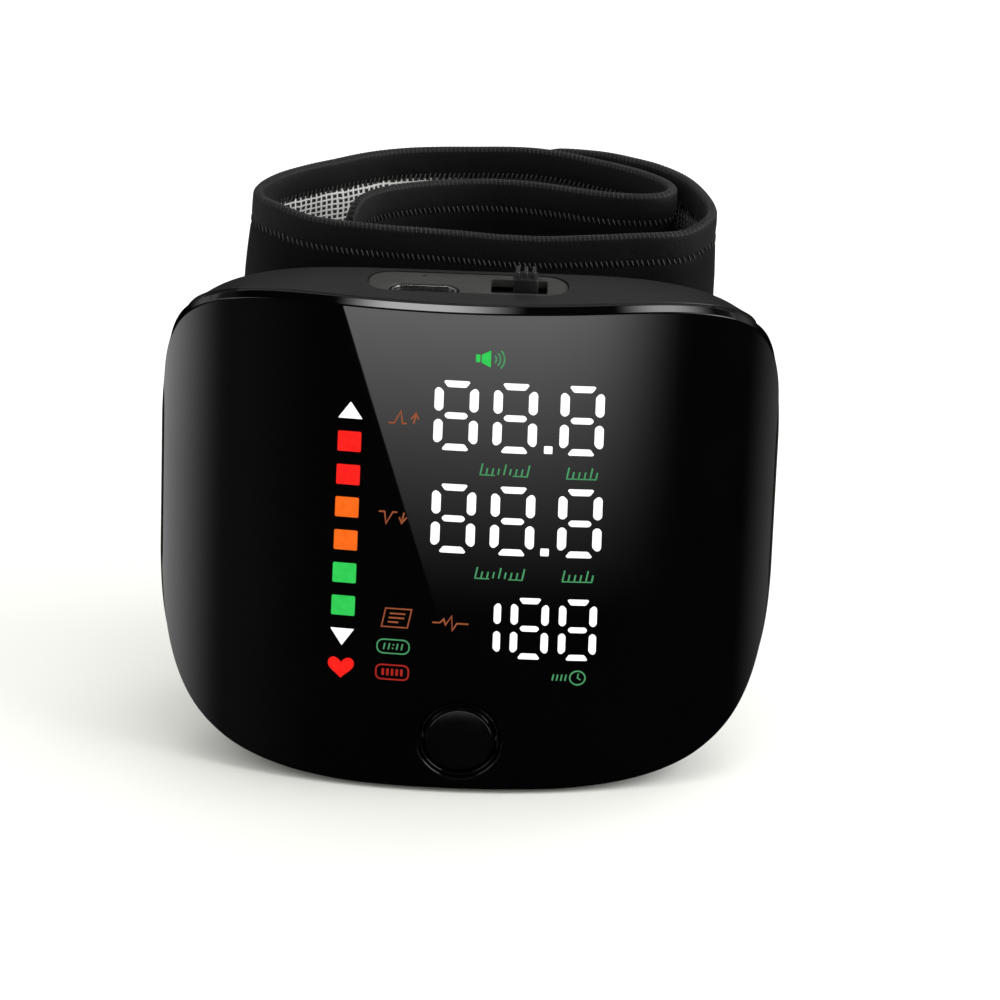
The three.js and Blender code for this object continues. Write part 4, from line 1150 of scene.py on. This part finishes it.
def lift(side, s, z):
    """Half thickness of the padded strip on one side: rolled hem, stitched groove, crowned field, soft creases."""
    m = min(z - CUFF_LOW, CUFF_TOP - z)
    if m < HEM - 0.8:
        base = 0.72 + 0.07 * math.sin(math.pi * min(1.0, m / (HEM - 0.8)))
    elif m < HEM:
        base = lerp(0.72, 0.56, smooth((m - HEM + 0.8) / 0.8))
    elif m < HEM + 1.5:
        base = lerp(0.56, 0.76, smooth((m - HEM) / 1.5))
    else:
        base = 0.76 + 0.12 * math.sin(math.pi * (z - CUFF_LOW - HEM - 1.5) / (CUFF_TOP - CUFF_LOW - 2 * HEM - 3.0))
    field = smooth((m - HEM) / 6)
    crease = field * (0.13 * wob(s / 9, z / 13, 4 + 9 * side) + 0.06 * wob(s / 3.2, z / 4.5, 2 + 5 * side))
    pucker = (1 - smooth(abs(m - HEM) / 2.0)) * 0.05 * wob(s / 0.8, side * 3.0, 7)
    bead = (1 - smooth((m - HEM + 1.2) / 1.2)) * (0.05 * wob(s / 6.0, z / 3.0, 6 + side) + 0.02 * wob(s / 1.6, z / 1.2, 9 + side))
    return base + crease + pucker + bead


def strip_point(side, s, z, o=None):
    """Point on the strip's surface; side is 1 outside and -1 inside, o a fixed offset instead of the surface."""
    x, d, n = strip_at(s)
    off = (side * lift(side, s, z) * end_round(s) if o is None else o) + push(s, x, z)
    c = corner(s)
    k = smooth((abs(z - CUFF_MID) - 24) / 15)
    zz = z + rim_wave(s, z, x, d) - math.copysign(c * k, z - CUFF_MID)
    return pt(x + n.x * off, d + n.y * off, zz)


def cuff_profile():
    """Loop of (side, z, fixed offset share or None, zone); zone 0 cover, 1 hem, 2 lining."""
    rows = [1.2, 1.9, 2.7, 3.4, 3.9, 4.2, HEM, 4.65, 5.0, 5.6, 6.6, 8.0]
    rows = [CUFF_LOW + z for z in rows]
    rows += list(np.linspace(rows[-1] + 2, CUFF_TOP + CUFF_LOW - rows[-1] - 2, 25)) + [CUFF_TOP + CUFF_LOW - z for z in rows[::-1]]
    r = 0.58

    def zone(z, inner):
        return 1 if min(z - CUFF_LOW, CUFF_TOP - z) < HEM else inner

    def nose(a):
        return 0.16 + 0.56 * math.cos(a)

    loop = []
    for i in range(4):                       # bottom rim, inner to outer
        a = math.radians(-90 + 22.5 * i)
        loop.append((1, CUFF_LOW + r + r * math.sin(a), nose(a), 1))
    loop.append((1, CUFF_LOW + r, None, 1))
    loop += [(1, z, None, zone(z, 0)) for z in rows]
    loop.append((1, CUFF_TOP - r, None, 1))
    for i in range(1, 5):
        a = math.radians(22.5 * i)
        loop.append((1, CUFF_TOP - r + r * math.sin(a), nose(a), 1))
    for i in range(4):
        a = math.radians(90 - 22.5 * i)
        loop.append((-1, CUFF_TOP - r + r * math.sin(a), -nose(a), 1))
    loop.append((-1, CUFF_TOP - r, None, 1))
    loop += [(-1, z, None, zone(z, 2)) for z in rows[::-1]]
    loop.append((-1, CUFF_LOW + r, None, 1))
    for i in range(1, 5):
        a = math.radians(-22.5 * i)
        loop.append((-1, CUFF_LOW + r + r * math.sin(a), -nose(a), 1))
    return loop


# the strip in three pieces: the free flap, the bend between the two bodies, attached to neither, and the coil on the
# casing
S_FLAP, S_ROOT = 30.6, 55.8


def build_cuff():
    loop = cuff_profile()
    step = 0.6
    count = int(STRIP_L / step)
    ss = [0.0, 0.12, 0.3] + [i * step for i in range(1, count)] + [STRIP_L - 0.3, STRIP_L - 0.12, STRIP_L]
    ss = sorted(set(round(s, 4) for s in ss))
    n = len(loop)
    grid = np.zeros((len(ss), n, 3))
    uv = np.zeros((len(ss), n, 2))
    for i, s in enumerate(ss):
        for j, (side, z, o, zone) in enumerate(loop):
            off = None if o is None else o * end_round(s)
            grid[i, j] = strip_point(side, s, z, off)
            uv[i, j] = (s / 300.0, (z if side > 0 else 2 * CUFF_TOP - z) / 300.0)
    # smooth normals of the whole strip, so that the three pieces shade as one
    ds = np.gradient(grid, axis=0)
    dz = np.roll(grid, -1, 1) - np.roll(grid, 1, 1)
    nrm = np.cross(ds, dz)
    nrm /= np.maximum(1e-12, np.linalg.norm(nrm, axis=2))[:, :, None]
    mid = grid.mean(1)[:, None, :]
    if np.mean(np.einsum("ijk,ijk->ij", nrm, grid - mid)[5:-5]) < 0:
        nrm = -nrm
    zone_of = [1 if (loop[j][3] == 1 or loop[(j + 1) % n][3] == 1) and loop[j][3] + loop[(j + 1) % n][3] != 99 and not (loop[j][3] != 1 and loop[(j + 1) % n][3] != 1) else loop[j][3] for j in range(n)]
    ends = {0: 0, len(ss) - 1: len(ss) - 1}
    pieces = {}
    for name, lo, hi in (("cuff_flap_pad", -1.0, S_FLAP), ("cuff_bend_pad", S_FLAP, S_ROOT), ("cuff_coil_pad", S_ROOT, 1e9)):
        idx = [i for i, s in enumerate(ss) if lo - 1e-6 <= s <= hi + 1e-6]
        g = grid[idx].reshape(-1, 3)
        f, mi = [], []
        for a in range(len(idx) - 1):
            for j in range(n):
                f.append((a * n + j, a * n + (j + 1) % n, (a + 1) * n + (j + 1) % n, (a + 1) * n + j))
                mi.append(zone_of[j])
        for end in ends:
            if end in idx:
                base = idx.index(end) * n
                half = n // 2
                # zip the thin end shut, outside to inside
                for j in range(half - 1):
                    q = (base + j, base + j + 1, base + n - 2 - j, base + n - 1 - j)
                    if len(set(q)) == 4:
                        f.append(q)
                        mi.append(1)
        ob = make(name, g, f, [M["cuff_fabric"], M["cuff_hem"], M["mesh_lining"]], mi, sharp=None, uv=uv[idx].reshape(-1, 2), recalc=True)
        ob.data.normals_split_custom_set_from_vertices([tuple(v) for v in nrm[idx].reshape(-1, 3)])
        pieces[name] = ob
    return pieces


cuff = build_cuff()


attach(cuff["cuff_coil_pad"], "casing")
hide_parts("cuff_cover", "cuff_lining", "cuff_top_binding", "cuff_bottom_binding")
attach(cuff["cuff_flap_pad"], "cuff_flap")
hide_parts("flap_cover", "flap_lining", "flap_top_binding", "flap_bottom_binding")
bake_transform(cuff["cuff_bend_pad"])


# --------------------------------------------------------------- the stitching
def thread(points, normals, r):
    """One stitch: a short capsule of thread through points that lie on the cloth."""
    sides, verts, faces, rings = 6, [], [], []
    k = len(points)
    for i in range(k):
        a, b = points[max(0, i - 1)], points[min(k - 1, i + 1)]
        t = (b - a).normalized()
        nn = normals[i]
        w = t.cross(nn).normalized()
        nn = w.cross(t)
        rr = r * (0.55 if i in (0, k - 1) else 1.0)
        ring = []
        for q in range(sides):
            a_ = 2 * math.pi * q / sides
            ring.append(len(verts))
            verts.append(points[i] + (w * math.cos(a_) + nn * math.sin(a_)) * rr)
        rings.append(ring)
    for a, b in zip(rings, rings[1:]):
        faces += [(a[q], a[(q + 1) % sides], b[(q + 1) % sides], b[q]) for q in range(sides)]
    faces += [tuple(rings[0][::-1]), tuple(rings[-1])]
    return verts, faces


def build_stitches():
    groups = {"flap": [], "bend": [], "coil": []}

    def put(s, part):
        groups["flap" if s < S_FLAP else "bend" if s < S_ROOT else "coil"].append(part)

    r = 0.115 * MM
    # hem row: slanted ticks across the groove
    pitch = 0.74
    for i in range(int((STRIP_L - 2.4) / pitch)):
        s = 1.4 + i * pitch
        x, d, n2 = strip_at(s)
        out = Vector((n2.x, n2.y, 0))
        jig = 0.1 * wob(i * 0.73, 2.0)
        for top in (True, False):
            zz = (lambda z: CUFF_TOP - z) if top else (lambda z: CUFF_LOW + z)
            for side in (1, -1):
                pts, nrm = [], []
                half = 0.5 + 0.12 * wob(i * 0.9, side, 1 + top)
                for t in (-1, -0.5, 0.5, 1):
                    p = strip_point(side, s + jig - 0.17 * t, zz(HEM + 0.02 + half * t))
                    pts.append(p + out * side * (0.01 if abs(t) == 1 else 0.09) * MM)
                    nrm.append(out * side)
                put(s, thread(pts, nrm, r))
    # rim row: fine overlock drawn over the edge
    pitch = 0.66
    for i in range(int((STRIP_L - 2.0) / pitch)):
        s = 1.2 + i * pitch
        x, d, n2 = strip_at(s)
        out = Vector((n2.x, n2.y, 0))
        jig = 0.07 * wob(i * 0.61, 5.0)
        for top in (True, False):
            zz = (lambda z: CUFF_TOP - z) if top else (lambda z: CUFF_LOW + z)
            up = Vector((0, 0, 1 if top else -1))
            pts, nrm = [], []
            for side, o, z, tilt in ((1, None, 0.8, 0.0), (1, 0.64, 0.36, 0.3), (1, 0.36, 0.05, 0.85), (-1, 0.36, 0.05, 0.85), (-1, 0.64, 0.36, 0.3), (-1, None, 0.8, 0.0)):
                at = s + jig - 0.16 * side * (0.3 + z)
                q = strip_point(side, at, zz(z), None if o is None else side * o * end_round(at))
                nv = (out * side * (1 - tilt) + up * tilt).normalized()
                pts.append(q + nv * (-0.03 if o is None else 0.005) * MM)
                nrm.append(nv)
            put(s, thread(pts, nrm, r * 0.6))
    # upright rows across the two free ends
    pitch = 0.8
    for s_end in (4.2, STRIP_L - 4.2):
        for i in range(int((CUFF_TOP - CUFF_LOW - 18) / pitch)):
            z = CUFF_LOW + 9 + i * pitch
            for side in (1, -1):
                x, d, n2 = strip_at(s_end)
                out = Vector((n2.x, n2.y, 0))
                pts = [strip_point(side, s_end + 0.5 * t, z + 0.1 * t) + out * side * (0.01 if abs(t) == 1 else 0.08) * MM for t in (-1, -0.5, 0.5, 1)]
                put(s_end, thread(pts, [out * side] * 4, r))
    for key, parts in groups.items():
        ob = make("cuff_stitches_" + key, *join_data(parts), M["stitch_thread"], sharp=None, recalc=False)
        if key == "bend":
            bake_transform(ob)
        else:
            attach(ob, "casing" if key == "coil" else "cuff_flap")


build_stitches()


# ------------------------------------------------------- hook and loop patches
def build_patch(name, s0, s1, o0, o1, node, body):
    """Tape with eased corners and edges that follows the strip."""
    ni, nj = 44, 60
    verts, faces = [], []

    def half_at(s):
        e = min(s - s0, s1 - s)
        c = 3.0
        return (CUFF_TOP - CUFF_LOW - 18) / 2 - (0 if e >= c else c - math.sqrt(max(0.0, c * c - (c - e) ** 2)))

    for face_o in (o0, o1):
        for i in range(ni + 1):
            s = lerp(s0, s1, i / ni)
            x, d, n = strip_at(s)
            h = half_at(s)
            for j in range(nj + 1):
                z = CUFF_MID + h * (2 * j / nj - 1)
                m = min(i, ni - i, j, nj - j)
                o = face_o if face_o == o0 else lerp(o0, o1, (0.25, 0.8, 1.0)[min(2, m)]) + math.copysign(0.03, o1) * wob(s * 1.3, z * 1.3)
                verts.append(pt(x + n.x * o, d + n.y * o, z))
    w = nj + 1
    top = (ni + 1) * w
    for i in range(ni):
        for j in range(nj):
            a = i * w + j
            faces.append((a, a + 1, a + w + 1, a + w))
            faces.append((top + a, top + a + w, top + a + w + 1, top + a + 1))
    ring = [i * w for i in range(ni)] + [ni * w + j for j in range(nj)] + [i * w + nj for i in range(ni, 0, -1)] + [j for j in range(nj, 0, -1)]
    for a, b in zip(ring, ring[1:] + ring[:1]):
        faces.append((a, b, top + b, top + a))
    ob = make(name, verts, faces, M["hook_loop"], sharp=60)
    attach(ob, body)
    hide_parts(node)
    return ob


build_patch("loop_tape", 166.4, 179.2, 0.72, 1.27, "loop_patch", "casing")
build_patch("hook_tape", 9.6, 19.2, -0.72, -1.27, "hook_patch", "cuff_flap")

# -------------------------------------------- materials of the inner CAD nodes
SLOT_OF = {s["node"]: s["material_slot"] for s in frame["record"]["subparts"]}
for node_name, ob in NODES.items():
    # the slide switch's parts take the near-black shadow material: painted shade inside its slot
    mat = M["shadow"] if node_name.startswith("slide_switch") else M.get(SLOT_OF.get(node_name), M["black_plastic"])
    ob.data.materials.clear()
    ob.data.materials.append(mat)

# --------------------------------------------------------------------- camera
ELEV, ROLL, DIST = math.radians(24.5), math.radians(2.05), 0.9
aim = pt(4.72, 10, 46.05)
back = Vector((0, -math.cos(ELEV), math.sin(ELEV)))
cam_data = bpy.data.cameras.new("camera")
cam_data.sensor_width = 36
cam_data.lens = 36 * 900 / 145.43
cam_data.clip_start, cam_data.clip_end = 0.01, 50
camera = bpy.data.objects.new("camera", cam_data)
scene.collection.objects.link(camera)
turn = (-back).to_track_quat("-Z", "Y").to_matrix() @ Matrix.Rotation(ROLL, 3, "Z")
camera.matrix_world = Matrix.Translation(aim + back * DIST) @ turn.to_4x4()
scene.camera = camera
CAM = aim + back * DIST

# ---------------------------------------------------------------- floor, light
floor_mat, nt, b = nodes_of("pale_floor")
nt.links.new(ramp(nt, noise_tex(nt, coords(nt), 3, 2), [(0.3, (0.86, 0.86, 0.83)), (0.7, (0.88, 0.88, 0.85))]), b.inputs["Base Color"])
b.inputs["Roughness"].default_value = 0.9
b.inputs["Specular IOR Level"].default_value = 0.1
floor = make("floor", [(-6, -6, -0.0002), (6, -6, -0.0002), (6, 6, -0.0002), (-6, 6, -0.0002)], [(0, 1, 2, 3)], floor_mat, recalc=False, sharp=None)
floor.visible_glossy = False

world = bpy.data.worlds.new("studio")
scene.world = world
world.use_nodes = True
bg = next(n for n in world.node_tree.nodes if n.type == "BACKGROUND")
bg.inputs["Color"].default_value = (1.0, 1.0, 0.97, 1)
bg.inputs["Strength"].default_value = 0.95
world.cycles_visibility.glossy = False


def softbox(name, at, to, w, h, radiance, spread=180):
    """Rectangular studio light; radiance is what a mirror would see."""
    ld = bpy.data.lights.new(name, "AREA")
    ld.shape = "RECTANGLE"
    ld.size, ld.size_y = w, h
    ld.energy = radiance * math.pi * w * h
    ld.spread = math.radians(spread)
    ob = bpy.data.objects.new(name, ld)
    scene.collection.objects.link(ob)
    ob.location = at
    ob.rotation_euler = (Vector(to) - Vector(at)).to_track_quat("-Z", "Y").to_euler()
    ob.visible_camera = False
    return ob


target = (0, -0.01, 0.06)
softbox("side_left", (-0.62, -0.30, 0.42), target, 0.22, 0.5, 1.3)
softbox("side_right", (0.66, -0.16, 0.40), target, 0.55, 0.6, 4.2)
softbox("overhead", (0.05, 0.12, 1.0), target, 0.7, 0.7, 1.2).visible_glossy = False
softbox("rear_wall", (0.0, 0.85, 0.40), target, 2.6, 0.4, 0.2)
softbox("rear_right", (0.5, 0.45, 0.4), target, 0.35, 0.5, 1.6).visible_glossy = False


def card(name, verts, faces, glow):
    """Emissive card seen only by reflections."""
    m = bpy.data.materials.new(name)
    m.use_nodes = True
    nt = m.node_tree
    nt.nodes.clear()
    out, em, at = nt.nodes.new("ShaderNodeOutputMaterial"), nt.nodes.new("ShaderNodeEmission"), nt.nodes.new("ShaderNodeAttribute")
    at.attribute_name = "glow"
    nt.links.new(at.outputs["Fac"], em.inputs["Strength"])
    nt.links.new(em.outputs[0], out.inputs[0])
    m.cycles.emission_sampling = "NONE"
    ob = make(name, verts, faces, m, recalc=False, sharp=None)
    a = ob.data.attributes.new("glow", "FLOAT", "POINT")
    a.data.foreach_set("value", glow)
    ob.visible_camera = ob.visible_diffuse = ob.visible_shadow = ob.visible_transmission = ob.visible_volume_scatter = False
    return ob


def glow_card(name, cols, rows, where, level):
    """Emissive card under the floor, seen only by reflections. It is laid out through the panel's face: the card point at (i, j) is
    what the camera sees mirrored at where(i, j), so level says the glare there. The card is fixed in the scene."""
    verts, glow = [], []
    for j in range(rows + 1):
        for i in range(cols + 1):
            x, z = where(i / cols, j / rows)
            d, s, c = face(x)
            p = pt(x, d, z)
            n = Vector((s, -c, 0))
            ray = (p - CAM).normalized()
            r = ray - 2 * ray.dot(n) * n
            t = (p.z + 0.15) / max(0.05, -r.z)
            verts.append(p + r * t)
            glow.append(level(x, z))
    w = cols + 1
    faces = [(j * w + i, j * w + i + 1, (j + 1) * w + i + 1, (j + 1) * w + i) for j in range(rows) for i in range(cols)]
    return card(name, verts, faces, glow)


def bevel_card(strips):
    """Card above the panel's upper bevel, carrying soft strip lights: (start, rise, end, fall, radiance) along the bevel's x."""
    cols = 120
    first, last = min(s[0] for s in strips), max(s[2] for s in strips)
    verts, glow = [], []
    for j in (-0.075, 0.075):
        for i in range(cols + 1):
            x = lerp(first, last, i / cols)
            d, s, c = face(x)
            tilt = Vector((u_of_x(x + 0.05) - u_of_x(x - 0.05), top_z(x + 0.05) - top_z(x - 0.05))).normalized()
            n = Vector((s, -c, 0)) * math.cos(BEVEL_A) + (Vector((c, s, 0)) * -tilt.y + Vector((0, 0, 1)) * tilt.x) * math.sin(BEVEL_A)
            p = pt(x, d + BEVEL_D / 2, top_z(x) - BEVEL_Z / 2)
            ray = (p - CAM).normalized()
            r = ray - 2 * ray.dot(n) * n
            verts.append(p + r * ((0.68 - p.z) / r.z) + Vector((0, j, 0)))
            glow.append(sum(e * smooth((x - a) / rise) * smooth((b - x) / drop) for a, rise, b, drop, e in strips))
    faces = [(i, i + 1, cols + 2 + i, cols + 1 + i) for i in range(cols)]
    return card("card_bevel", verts, faces, glow)


bevel_card([(-20, 9, 8, 13, 8.0), (20, 7, 35, 7, 5.0)])


def wing_card(name, x, peak):
    """Large soft card to one side, mirrored in the rounded shoulder of the panel's bevel."""
    n = 16
    verts, glow = [], []
    for j in range(n + 1):
        for i in range(n + 1):
            a, b = i / n, j / n
            verts.append(Vector((x, lerp(-0.9, 1.1, a), lerp(0.06, 1.3, b))))
            glow.append(peak * smooth(a / 0.35) * smooth((1 - a) / 0.35) * smooth(b / 0.25) * smooth((1 - b) / 0.5))
    faces = [(j * (n + 1) + i, j * (n + 1) + i + 1, (j + 1) * (n + 1) + i + 1, (j + 1) * (n + 1) + i) for j in range(n) for i in range(n)]
    return card(name, verts, faces, glow)


wing_card("card_wing_left", -0.75, 0.9)
wing_card("card_wing_right", 0.75, 0.55)


def glare_edge(z):
    return -18.4 + (78.8 - z) * 0.313


glow_card("card_front", 30, 30, lambda i, j: (lerp(glare_edge(lerp(29, 80, j)), 33, i), lerp(29, 80, j)),
          lambda x, z: 2.7 * max(0.0, (z - 30) / 48) ** 1.8 * (1 - smooth((x - 16.5) / 14.5)) * lerp(1.0, 0.82, smooth((x - 8) / 14)))
glow_card("card_left", 48, 8, lambda i, j: (lerp(-44.8, -19.2, i), lerp(0, 80, j)),
          lambda x, z: lerp(1.15, 1.5, smooth((z - 45) / 30)) * smooth((-34.5 - x) / 8.6) ** 1.35 + 0.075 * smooth((-20 - x) / 16))
glow_card("card_right", 24, 8, lambda i, j: (lerp(39.5, 44.8, i), lerp(0, 80, j)),
          lambda x, z: 0.29 * smooth((x - 39.6) / 5.0))

scene.view_settings.view_transform = "Standard"
scene.view_settings.look = "None"
scene.cycles.use_denoising = True
scene.cycles.max_bounces = 8
